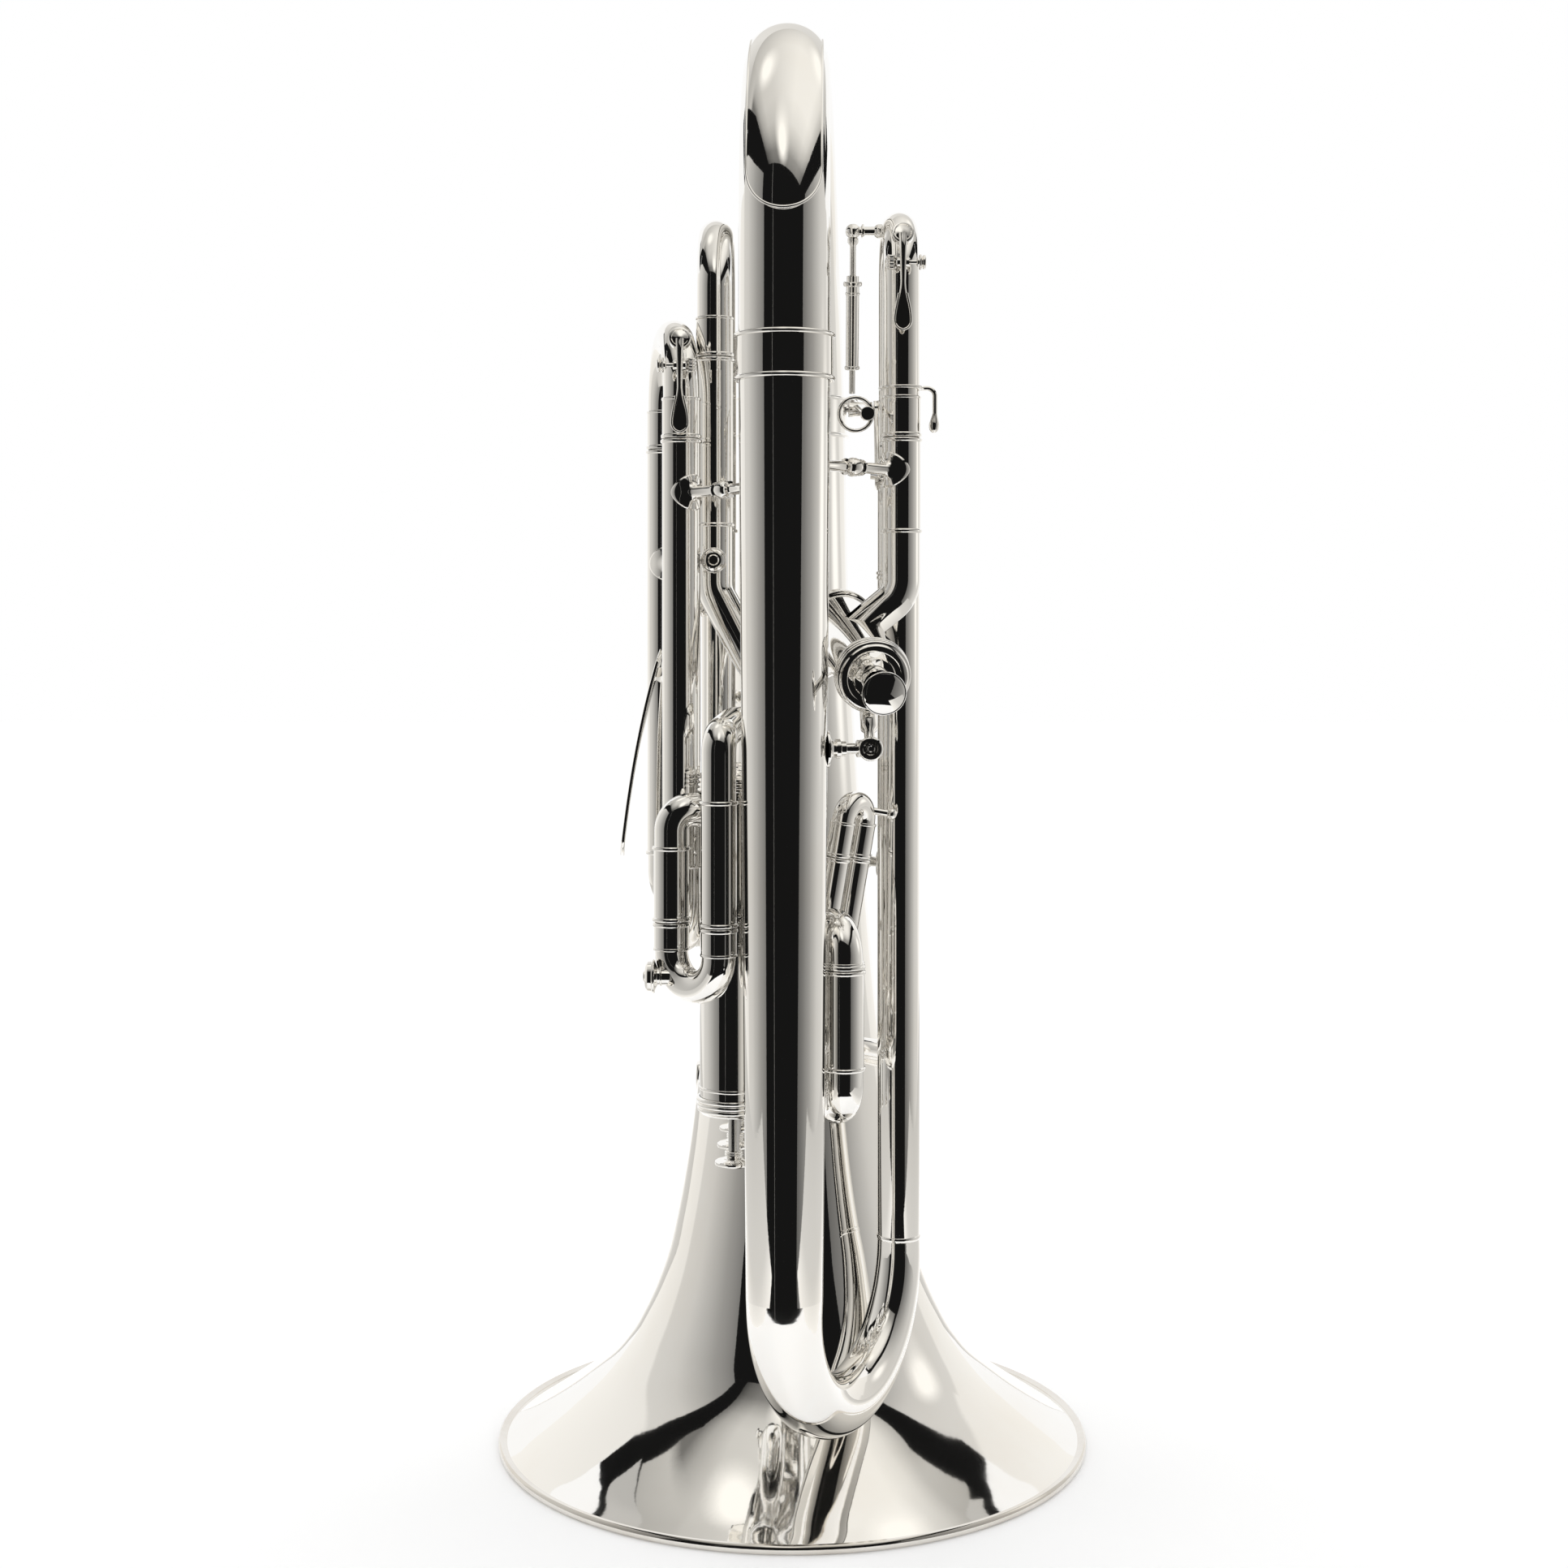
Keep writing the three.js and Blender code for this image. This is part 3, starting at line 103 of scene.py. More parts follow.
LEVER = Sizes(hub=3.6, bore=2.0, length=11.6, root=2.6, ball=2.9, reach=24, rise=6, x=28.5)
THUMB = Sizes(radius=7.6, wire=0.9, reach=28, drop=5, barrel=3.3, barrel_x=5.4, barrel_length=4)
HOOK = Sizes(z=525, reach_x=15.5, drop=14, bend=3.5, wire=1.1, tear=2.5)
ROD = Sizes(stub_z=602, stub=2.2, knuckle=3.6, thin=1.5, tube=3.1, collar=4.4, gap=0.8)
KEY = Sizes(hub=2.3, length=6.4, spoon=3.7, pad=5.1, screw=3.6, screw_length=3.2, stand=4.6, belly=0.8)
# A lever key's half thickness, at even steps from its pad to its spoon
KEY_DEPTHS = (1.1, 1.2, 1.2, 0.9, 0.6, 0.45)
TUNING_KEY = Sizes(pad=594, hinge=581, spoon=554, side=1)
FOURTH_KEY = Sizes(pad=547, hinge=535, spoon=508, side=-1)
NUB = Sizes(head=6, neck=3.9, plunger=2.6, seat=1.2, length=4.5, proud=2.2, bore=3, travel=1.2)
THIRD_KEY = Sizes(z=258, y=-144, outer=-66.5, inner=-46, head=7.6)
PUSH_KEY = Sizes(z=446, reach=9)
REST = Sizes(top=404, low=305, foot_z=393, near=-62, far=-81, bulge=-75, bulge_z=362, y=-71, width=18,
             thickness=2, foot=3)

BELL_SIDES = 160
BIG_SIDES = 96
CAP_SIDES = 72
TUBE_SIDES = 56
FINE_SIDES = 36
PISTON_SIDES = 64
WIRE_SIDES = 12
COIL_SIDES = 8
BELL_STEPS = 110
ROLL_STEPS = 14
BOW_STEPS = 40
FOOT_STEPS = 36
CROOK_STEPS = 30
BEND_STEPS = 22
WRAP_STEPS = 60
TABLE_STEPS = 64
GUARD_STEPS = Sizes(bow=120, tongue=24, middle=80, edge=8, across=40)
SHARP_ANGLE = math.radians(38)
TIP = 1e-6


# Small shared helpers
def point(x, y, z):
    return np.array([x, y, z], float)


UP, FRONT, LEFT, RIGHT = point(0, 0, 1), point(0, -1, 0), point(-1, 0, 0), point(1, 0, 0)
ORIGIN, BACK = point(0, 0, 0), point(0, 1, 0)
PIPE = WIDE.radius


def at(column, z):
    return point(column[0], column[1], z)


def unit(vector):
    return vector / np.linalg.norm(vector)


def mixed(a, b, share):
    return a + (b - a) * share


def span(a, b):
    return math.dist(a[:2], b[:2])


def shares(steps):
    """Even steps from 0 to 1."""
    return [i / steps for i in range(steps + 1)]


def circle(count, closed=False):
    """Angles round a full turn."""
    return [math.tau * i / count for i in range(count + closed)]


def turn_about(vector, axis, angle):
    axis = unit(axis)
    cosine, sine = math.cos(angle), math.sin(angle)
    return vector * cosine + np.cross(axis, vector) * sine + axis * np.dot(axis, vector) * (1 - cosine)


def leaned_point(place, pivot):
    return turn_about(np.array(place) - pivot, BACK, LEAN) + pivot


def frame_of(direction):
    """Two unit vectors square to a direction and to each other."""
    side = np.cross(direction, UP)
    if np.linalg.norm(side) < 0.1:
        side = RIGHT
    side = unit(side - direction * np.dot(side, direction))
    return side, np.cross(direction, side)


class Form:
    """Vertices and faces of one piece, gathered from several shapes."""

    def __init__(self):
        self.points = []
        self.faces = []

    def rings(self, rings, closed=False):
        """Skins rings of points, where a ring of one point closes to a tip."""
        starts = []
        for ring in rings:
            starts.append(len(self.points))
            self.points.extend(ring)
        last = len(rings) - 1
        for i in range(last + closed):
            k = (i + 1) % len(rings)
            self.faces.extend(band(starts[i], len(rings[i]), starts[k], len(rings[k])))
        for i, way in () if closed else ((0, -1), (last, 1)):
            if len(rings[i]) > 1:
                self.faces.append([starts[i] + j for j in range(len(rings[i]))][::way])
        return self

    def leaned(self, pivot):
        self.points = [leaned_point(p, pivot) for p in self.points]
        return self


def band(low, low_count, high, high_count):
    faces = []
    count = max(low_count, high_count)
    for i in range(count):
        k = (i + 1) % count
        corners = [low + i, low + k] if low_count > 1 else [low]
        faces.append(corners + ([high + k, high + i] if high_count > 1 else [high]))
    return faces


def finish(form, name, body, nodes, material):
    """Makes the piece, lets it ride on its body and stand for its nodes."""
    mesh = bpy.data.meshes.new(name)
    points = [(p[0] * MM, (p[1] + AXIS_SHIFT) * MM, p[2] * MM) for p in form.points]
    mesh.from_pydata(points, [], form.faces)
    shape = bmesh.new()
    shape.from_mesh(mesh)
    bmesh.ops.recalc_face_normals(shape, faces=shape.faces)
    shape.to_mesh(mesh)
    shape.free()
    mesh.shade_smooth()
    mesh.set_sharp_from_angle(angle=SHARP_ANGLE)
    mesh.materials.append(material)
    piece = bpy.data.objects.new(name, mesh)
    bpy.context.scene.collection.objects.link(piece)
    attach(piece, body)
    if nodes:
        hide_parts(*nodes)


def plate(form, node_name, suffix, body="body"):
    """A silver piece that stands for one node and is named after it."""
    finish(form, node_name + "_" + suffix, body, [node_name], SILVER)


def key_piece(form, slide, suffix):
    """The moving part of a slide's water key."""
    finish(form, slide + "_key_" + suffix, slide + "_key", [slide + "_water_key"], SILVER)


def rounded(profile, radius, steps=4):
    """Rounds the corners of a profile of (radius, distance) points."""
    corners = [np.array(p, float) for p in profile]
    result = [corners[0]]
    for before, corner, after in zip(corners, corners[1:], corners[2:]):
        back, ahead = before - corner, after - corner
        reach = min(radius, np.linalg.norm(back) / 2.1, np.linalg.norm(ahead) / 2.1)
        start, end = corner + unit(back) * reach, corner + unit(ahead) * reach
        for t in shares(steps):
            result.append(start * (1 - t) ** 2 + corner * 2 * t * (1 - t) + end * t ** 2)
    return result + [corners[-1]]


def bead(radius, low, high, proud, steps=8):
    """A half-round ring on a sleeve, as profile points from low to high."""
    middle, half = (low + high) / 2, (high - low) / 2
    angles = [math.pi * i / steps for i in range(steps + 1)]
    return [(radius + proud * math.sin(a), middle - half * math.cos(a)) for a in angles]


def turned(form, profile, start, end, sides=TUBE_SIDES, closed=False, bend=None):
    """A turned shape from start towards end. bend(place, distance) moves points along the axis."""
    axis = unit(end - start)
    side, other = frame_of(axis)
    rings = []
    for radius, distance in profile:
        if radius < TIP:
            rings.append([start + axis * distance])
            continue
        ring = []
        for angle in circle(sides):
            out = side * math.cos(angle) + other * math.sin(angle)
            offset = bend(out * radius, distance) if bend else 0
            ring.append(start + out * radius + axis * (distance + offset))
        rings.append(ring)
    return form.rings(rings, closed)


def lathed(form, profile, start, away, closed=False):
    """A small turned fitting that points away from its start."""
    return turned(form, profile, start, start + away, FINE_SIDES, closed)


def ball(form, centre, radius, steps=16):
    angles = [math.pi * i / steps for i in range(steps + 1)]
    return lathed(form, [(max(radius * math.sin(a), 0), -radius * math.cos(a)) for a in angles], centre, UP)


def rod(form, start, end, radius, sides=FINE_SIDES):
    return turned(form, [(radius, 0), (radius, np.linalg.norm(end - start))], start, end, sides)


def route(corners, bend, steps=BEND_STEPS):
    """Rounds the corners of a route of points."""
    points = [corners[0]]
    for before, corner, after in zip(corners, corners[1:], corners[2:]):
        back, ahead = unit(before - corner), unit(after - corner)
        half = math.acos(np.clip(np.dot(back, ahead), -1, 1)) / 2
        reach = bend / math.tan(half)
        centre = corner + unit(back + ahead) * bend / math.sin(half)
        start = corner + back * reach - centre
        end = corner + ahead * reach - centre
        angle = math.acos(np.clip(np.dot(unit(start), unit(end)), -1, 1))
        axis = np.cross(start, end)
        points.extend(turn_about(start, axis, angle * i / steps) + centre for i in range(steps + 1))
    points.append(corners[-1])
    return points[:1] + [p for p, q in zip(points[1:], points) if np.linalg.norm(p - q) > CLEARANCE / 10]


def frames_along(points):
    """Frames that turn as little as possible along a path: point, side, other, tangent and share of the length."""
    lengths = np.cumsum([0] + [np.linalg.norm(b - a) for a, b in zip(points, points[1:])])
    side, result = None, []
    for i, place in enumerate(points):
        ahead = points[min(i + 1, len(points) - 1)] - place
        behind = place - points[max(i - 1, 0)]
        tangent = unit(sum(unit(v) for v in (ahead, behind) if np.linalg.norm(v) > 0))
        if side is None:
            side = frame_of(tangent)[0]
        side = unit(side - tangent * np.dot(side, tangent))
        result.append((place, side, np.cross(tangent, side), tangent, lengths[i] / lengths[-1]))
    return result


def onto_wall(ring, tangent, wall):
    """Slides a ring's points along the tube until they lie on a round wall: (point on axis, axis, radius)."""
    origin, axis, radius = wall
    result = []
    for p in ring:
        flat_p = (p - origin) - axis * np.dot(p - origin, axis)
        flat_t = tangent - axis * np.dot(tangent, axis)
        a, b, c = flat_t @ flat_t, 2 * flat_p @ flat_t, flat_p @ flat_p - radius ** 2
        root = b * b - 4 * a * c
        slide = (-b - math.sqrt(root)) / (2 * a) if root > 0 else 0
        result.append(p + tangent * slide)
    return result


def tube(form, points, radius, wall=None, sides=TUBE_SIDES):
    """A tube along points, whose last ring is cut to the round wall that it enters."""
    rings = []
    for place, side, other, _, share in frames_along(points):
        size = radius(share) if callable(radius) else radius
        rings.append([place + (side * math.cos(a) + other * math.sin(a)) * size for a in circle(sides)])
    if wall:
        rings[-1] = onto_wall(rings[-1], unit(points[-1] - points[-2]), wall)
    return form.rings(rings)


def strap(form, points, half_width, half_thick, across, power=0.55, sides=28):
    """A flat bar along points with a soft-edged section. Its half sizes are numbers or follow the share of length."""
    rings = []
    for place, _, _, tangent, share in frames_along(points):
        wide = unit(across - tangent * np.dot(across, tangent))
        thick = np.cross(tangent, wide)
        width, depth = (size(share) if callable(size) else size for size in (half_width, half_thick))
        ring = []
        for angle in circle(sides):
            cosine, sine = math.cos(angle), math.sin(angle)
            u = math.copysign(abs(cosine) ** power, cosine) * width
            w = math.copysign(abs(sine) ** power, sine) * depth
            ring.append(place + wide * u + thick * w)
        rings.append(ring)
    return form.rings(rings)


def curve_through(points, steps=12):
    """A smooth path through a few points."""
    result = []
    padded = [2 * points[0] - points[1]] + list(points) + [2 * points[-1] - points[-2]]
    for p0, p1, p2, p3 in zip(padded, padded[1:], padded[2:], padded[3:]):
        for t in shares(steps)[:-1]:
            result.append(0.5 * (2 * p1 + (p2 - p0) * t + (2 * p0 - 5 * p1 + 4 * p2 - p3) * t ** 2
                                 + (3 * p1 - p0 - 3 * p2 + p3) * t ** 3))
    return result + [points[-1]]


def steps_between(values, share):
    """A value that runs evenly through a list as share goes from 0 to 1."""
    place = share * (len(values) - 1)
    low = min(int(place), len(values) - 2)
    return mixed(values[low], values[low + 1], place - low)


# Materials
def plug(tree, socket, value):
    """Gives a socket a number, a colour or another node's output."""
    if isinstance(value, bpy.types.NodeSocket):
        tree.links.new(value, socket)
    else:
        socket.default_value = value


def wire(tree, made, **sockets):
    """Plugs a node's sockets by name, where _ stands for a space."""
    for name, value in sockets.items():
        plug(tree, made.inputs[name.replace("_", " ")], value)
    return made


def node(tree, kind, **sockets):
    return wire(tree, tree.nodes.new(kind), **sockets)


def new_material(name):
    material = bpy.data.materials.new(name)
    material.use_nodes = True
    return material, material.node_tree


def metal(name, colour, tarnish, rough_low, rough_high, bump=0.02):
    """Polished metal: faint clouding of its colour, uneven polish and very fine polishing marks."""
    material, tree = new_material(name)
    place = node(tree, "ShaderNodeTexCoord").outputs["Object"]
    cloud = node(tree, "ShaderNodeTexNoise", Vector=place, Scale=14, Detail=5, Roughness=0.6).outputs["Fac"]
    marks = node(tree, "ShaderNodeTexNoise", Vector=place, Scale=420, Detail=3, Roughness=0.5).outputs["Fac"]
    tint = tree.nodes.new("ShaderNodeMix")
    tint.data_type = "RGBA"
    share = node(tree, "ShaderNodeMapRange", Value=cloud, From_Min=0.45, From_Max=0.8)
    wire(tree, tint, Factor=share.outputs["Result"], A=(*colour, 1), B=(*tarnish, 1))
    polish = node(tree, "ShaderNodeMapRange", Value=cloud, From_Min=0.3, From_Max=0.75, To_Min=rough_low,
                  To_Max=rough_high)
    relief = node(tree, "ShaderNodeBump", Height=marks, Strength=bump, Distance=0.0002)
    wire(tree, tree.nodes["Principled BSDF"], Metallic=1, Base_Color=tint.outputs["Result"],
         Roughness=polish.outputs["Result"], Normal=relief.outputs["Normal"])
    return material


SILVER = metal("silver_plate", (0.955, 0.94, 0.91), (0.93, 0.90, 0.85), 0.025, 0.06)
# The rim roll's darker colour is painted shade: the crease and contact shadow where the bell stands on the table
SHADED_RIM = metal("rim_painted_shade", (0.82, 0.79, 0.74), (0.66, 0.61, 0.54), 0.07, 0.14)
MONEL = metal("ground_alloy", (0.62, 0.61, 0.59), (0.55, 0.54, 0.52), 0.15, 0.28)
STEEL = metal("spring_wire", (0.72, 0.73, 0.74), (0.6, 0.6, 0.6), 0.2, 0.35)


# Bell, bow and main leg
def bell_curve(z):
    """The bell's outer radius at a height."""
    heights = [h * BELL.height for h, _ in BELL_SHARES]
    radii = [r * BELL.rim for _, r in BELL_SHARES]
    slopes = np.gradient(radii, heights)
    i = int(np.clip(np.searchsorted(heights, z) - 1, 0, len(heights) - 2))
    step = heights[i + 1] - heights[i]
    t = np.clip((z - heights[i]) / step, 0, 1)
    low = (1 + 2 * t) * (1 - t) ** 2 * radii[i] + t * (1 - t) ** 2 * step * slopes[i]
    return low + t ** 2 * (3 - 2 * t) * radii[i + 1] - t ** 2 * (1 - t) * step * slopes[i + 1]


def make_bell():
    first = BELL_SHARES[0][0] * BELL.height
    outer = [(bell_curve(z), z) for z in (first * (BELL.height / first) ** share for share in shares(BELL_STEPS))]
    inner = [(r - BELL.wall, z) for r, z in reversed(outer)]
    plate(turned(Form(), outer + inner, ORIGIN, UP, BELL_SIDES, closed=True), "bell", "shell")
    centre, size = BELL.rim - BELL.bead, BELL.bead
    angles = [math.radians(mixed(-215, 62, share)) for share in shares(ROLL_STEPS)]
    roll = [(centre + size * math.cos(a), size + size * math.sin(a)) for a in angles]
    # The rim roll takes the darker metal, whose colour is painted contact shade at the table
    finish(turned(Form(), roll, ORIGIN, UP, BELL_SIDES, closed=True), "bell_rim_roll", "body", [], SHADED_RIM)


def throat():
    return BELL_SHARES[-1][1] * BELL.rim


def bow_radius(share):
    """The bow narrows from the bell's throat to its crown, and is nearly as narrow at the leg."""
    if share < 0.5:
        return mixed(throat(), BOW.crown, 2 * share)
    return mixed(BOW.crown, LEG.top_radius, 2 * share - 1)


def bow_route(steps=BOW_STEPS):
    axis = (0, 0)
    crown = BOW.centre + span(axis, LEG.at) / 2
    corners = [at(axis, BELL.height), at(axis, crown), at(LEG.at, crown), at(LEG.at, LEG.top)]
    return route(corners, span(axis, LEG.at) / 2, steps)


def foot_top():
    return FOOT.bottom + FOOT.radius + span(LEG.at, BRANCH.at) / 2 + FOOT.straight


def foot_route():
    low = FOOT.bottom + FOOT.radius
    corners = [at(LEG.at, foot_top()), at(LEG.at, low), at(BRANCH.at, low), at(BRANCH.at, foot_top())]
    return route(corners, span(LEG.at, BRANCH.at) / 2, FOOT_STEPS)


def leg_radius(z):
    return mixed(LEG.top_radius, LEG.low_radius, (LEG.top - z) / (LEG.top - foot_top()))


def ferrule(name, column, z, radius):
    half, size, width = FERRULE.length / 2, radius + FERRULE.thickness, FERRULE.bead
    outside = bead(size, 0, width, FERRULE.proud) + bead(size, 2 * half - width, 2 * half, FERRULE.proud)
    profile = [(radius, 0)] + outside + [(radius, 2 * half)]
    plate(turned(Form(), profile, at(column, z - half), at(column, z + half), BIG_SIDES, closed=True), name, "ring")


def resampled(frames, lengths):
    """Frames at the given lengths from the path's end, worked out between its own frames."""
    gone = [0]
    for a, b in zip(frames, frames[1:]):
        gone.append(gone[-1] + np.linalg.norm(b[0] - a[0]))
    result = []
    for length in lengths:
        where = gone[-1] - length
        i = min(max(int(np.searchsorted(gone, where)) - 1, 0), len(frames) - 2)
        t = (where - gone[i]) / (gone[i + 1] - gone[i])
        a, b = frames[i], frames[i + 1]
        result.append((mixed(a[0], b[0], t), unit(mixed(a[3], b[3], t)), mixed(a[4], b[4], t), length))
    return result


def make_guard():
    """A thin plate over the bow that narrows to a round tongue at each end, with a wire along its edge."""
    centre = point(LEG.at[0] / 2, LEG.at[1] / 2, BOW.centre)
    first, tongue, far = BOW.centre - LEG.top, GUARD.tongue, GUARD.length
    eased = [tongue * (1 - math.cos(math.pi / 2 * i / GUARD_STEPS.tongue)) for i in range(GUARD_STEPS.tongue + 1)]
    lengths = [first + e for e in eased]
    lengths += [first + mixed(tongue, far - tongue, share) for share in shares(GUARD_STEPS.middle)[1:]]
    lengths += [first + far - e for e in eased[-2::-1]]
    half = BOW.thickness / 2
    guard, rows, edges = Form(), [], ([], [])
    for place, tangent, share, length in resampled(frames_along(bow_route(GUARD_STEPS.bow)), lengths):
        away = (place - centre) if place[2] > BOW.centre else FRONT
        out = unit(away - tangent * np.dot(away, tangent))
        sideways = np.cross(tangent, out)
        near = min(length - first, first + far - length)
        reach = GUARD.half_angle * math.sqrt(max(1 - (1 - min(near / tongue, 1)) ** 2, 0.0004))
        outer = bow_radius(share) + BOW.gap + BOW.thickness
        turns = [math.pi / 2 - math.pi * i / GUARD_STEPS.edge for i in range(1, GUARD_STEPS.edge)]
        side = [(outer - half + half * math.sin(t), reach + half * math.cos(t) / outer) for t in turns]
        angles = [reach * (2 * j / GUARD_STEPS.across - 1) for j in range(GUARD_STEPS.across + 1)]
        ring = [(outer, a) for a in angles] + side + [(outer - BOW.thickness, a) for a in reversed(angles)]
        ring += [(r, -a) for r, a in reversed(side)]
        rows.append([place + (out * math.cos(a) + sideways * math.sin(a)) * r for r, a in ring])
        for sign, edge in zip((1, -1), edges):
            edge.append(place + (out * math.cos(reach) + sideways * math.sin(sign * reach)) * (outer - GUARD.inset))
    guard.rings(rows)
    tube(guard, edges[0] + edges[1][::-1] + edges[0][:1], GUARD.edge, sides=WIRE_SIDES)
    plate(guard, "bow_guard", "plate")


def make_bow():
    finish(tube(Form(), bow_route(), bow_radius, sides=BIG_SIDES), "bow_tube", "body", ["bottom_bow"], SILVER)
    make_guard()
    ferrule("bell_ferrule", (0, 0), BELL.height, throat())
    ferrule("leg_ferrule", LEG.at, LEG.top, LEG.top_radius)


def make_leg():
    form = tube(Form(), [at(LEG.at, LEG.top), at(LEG.at, foot_top())],
                lambda s: mixed(LEG.top_radius, LEG.low_radius, s), sides=BIG_SIDES)
    plate(form, "main_leg", "tube")
    form = tube(Form(), foot_route(), lambda s: mixed(LEG.low_radius, BRANCH.radius, s), sides=BIG_SIDES)
    plate(form, "foot_bend", "tube")


# Sleeves, crooks and the feet that run into the casings
def sleeve(form, column, low, high, size=WIDE):
    """A bored tube with a bead at each mouth."""
    length, width = high - low, RING.width
    outside = bead(size.radius, 0, width, RING.proud) + bead(size.radius, length - width, length, RING.proud)
    profile = [(size.bore, 0)] + outside + [(size.bore, length)]
    return turned(form, profile, at(column, low), at(column, high), closed=True)


def crook(loop, size=WIDE):
    """A U of tube with a ferrule on each leg and thinner legs that slide in their sleeves."""
    sign = math.copysign(1, loop.crook - loop.seat)
    a, b, radius = loop.a, loop.b, size.radius
    bend = span(a, b) / 2
    top = loop.crook - sign * radius
    seat = loop.seat + sign * CLEARANCE
    slim = radius - 0.5
    form = tube(Form(), route([at(a, seat), at(a, top), at(b, top), at(b, seat)], bend, CROOK_STEPS), slim)
    length = min(RING.ferrule, abs(top - sign * bend - seat))
    for column in (a, b):
        outside = bead(radius, 0, RING.width, RING.proud * 0.7) + [(radius, length - 1.4)]
        outside += bead(radius, length - 1.4, length, 0.35) + [(slim - 0.3, length)]
        turned(form, [(size.inner, 0)] + outside, at(column, seat), at(column, seat + sign))
        rod(form, at(column, seat - sign * loop.insert), at(column, seat), size.inner, TUBE_SIDES)
    return form


def casing_column(i):
    return (CASING.x, CASING.first_y + i * CASING.pitch)


def casing_wall(i):
    return (at(casing_column(i), 0), UP, CASING.radius - CASING.overlap)


SIDE_START, SIDE_END = point(*SIDE.front), point(*SIDE.back)
SIDE_WALL = (SIDE_START, unit(SIDE_END - SIDE_START), CASING.radius - CASING.overlap)


def beside_first_casing(column, z):
    """The point just outside the first casing that faces a column."""
    casing = casing_column(0)
    inward = unit(at(casing, 0) - at(column, 0))
    return at(casing, z) - inward * (CASING.radius + 1)


def foot(form, corners, bend, wall=None, back=0, shift=ORIGIN, size=WIDE, slack=0.35, steps=BEND_STEPS):
    """The tube from a sleeve to a casing. Its end is drawn back along itself or shifted, then cut to the wall."""
    path = route(corners, bend, steps)
    end = path[-1] - unit(path[-1] - path[-2]) * back + shift
    return tube(form, path[:-1] + [end], size.radius - slack, wall)


def brace(form, a, radius_a, b, radius_b, z):
    """A rod between two upright tubes, with a flange on each tube and a knuckle in the middle if it is long."""
    start, end = at(a, z), at(b, z)
    away = unit(end - start)
    begin = start + away * radius_a
    length = np.linalg.norm(end - start) - radius_a - radius_b
    flange, thick, thin = min(BRACE.flange, length / 3.2), BRACE.thickness, BRACE.rod
    half = [(0, -2), (flange - 0.3, -2), (flange, 0), (flange, thick * 0.5), (flange - 0.5, thick)]
    half += [(flange * 0.62, thick * 1.1), (thin * 1.35, thick * 1.9), (thin, thick * 3)]
    profile = list(half)
    if length > BRACE.plain:
        middle, knob = length / 2, BRACE.knuckle
        collar = [(thin, 5.5), (thin + 1.2, 5), (thin + 1.2, 4), (thin, 3.6)]
        turns = [math.radians(t) for t in range(35, 150, 14)]
        profile += [(r, middle - d) for r, d in collar]
        profile += [(knob * math.sin(t), middle - knob * math.cos(t)) for t in turns]
        profile += [(r, middle + d) for r, d in reversed(collar)]
    profile += [(r, length - d) for r, d in reversed(half)]

    def hug(offset, distance):
        near = distance < length / 2
        radius = radius_a if near else radius_b
        across = offset - UP * offset[2] - away * np.dot(offset, away)
        slip = math.sqrt(max(radius ** 2 - across @ across, 0)) - radius
        return slip if near else -slip

    return turned(form, profile, begin, begin + away, FINE_SIDES, bend=hug)


def pipe_brace(form, a, b, z):
    return brace(form, a, PIPE, b, PIPE, z)


def bell_brace(form, b, radius_b, z):
    return brace(form, (0, 0), bell_curve(z), b, radius_b, z)


def leg_brace(form, b, radius_b, z):
    return brace(form, LEG.at, leg_radius(z), b, radius_b, z)


def make_tuning():
    form = sleeve(Form(), TUNING.b, BRANCH.top, TUNING.seat)
    pipe_brace(form, TUNING.a, TUNING.b, BRACE_AT.tuning)
    plate(form, "tuning_sleeve_back", "tube")
    low, seam = at(BRANCH.at, foot_top()), at(BRANCH.at, BRANCH.top)
    form = tube(Form(), [low, seam], BRANCH.radius)
    turned(form, bead(BRANCH.radius - 0.1, -2.4, 0, 0.6), seam, seam + UP)
    turned(form, bead(BRANCH.radius - 0.1, -1.2, 1.2, 0.5), low, seam)
    bell_brace(form, BRANCH.at, BRANCH.radius, BRACE_AT.branch)
    plate(form, "branch_tube", "skin")
    corners = [at(TUNING.a, TUNING.low), at(TUNING.a, ELBOW.drop), point(*ELBOW.end)]
    form = foot(Form(), corners, ELBOW.bend, SIDE_WALL, back=CASING.radius / 2, slack=0.2)
    plate(form, "tuning_elbow", "tube")


def make_fourth():
    run, a, b = FOURTH_FOOT, FOURTH.a, FOURTH.b
    form = sleeve(Form(), a, FOURTH.low, FOURTH.seat)
    corners = [at(a, FOURTH.low + RING.width), at(a, run.z), point(a[0], run.turn_y, run.z),
               point(run.reach_x, run.turn_y, run.z)]
    foot(form, corners, run.bend, casing_wall(2), shift=LEFT * 9)
    leg_brace(form, a, PIPE, BRACE_AT.fourth_leg)
    pipe_brace(form, b, a, BRACE_AT.fourth)
    plate(form, "fourth_tube_front", "skin")
    form = sleeve(Form(), b, FOURTH.low, FOURTH.seat)
    corners = [at(b, FOURTH.low + RING.width), at(b, run.back_z), point(run.reach_x, run.back_y, run.back_z)]
    foot(form, corners, run.bend, casing_wall(2), shift=LEFT * 11)
    pipe_brace(form, UPPER.b, b, BRACE_AT.upper_fourth)
    plate(form, "fourth_tube_back", "skin")


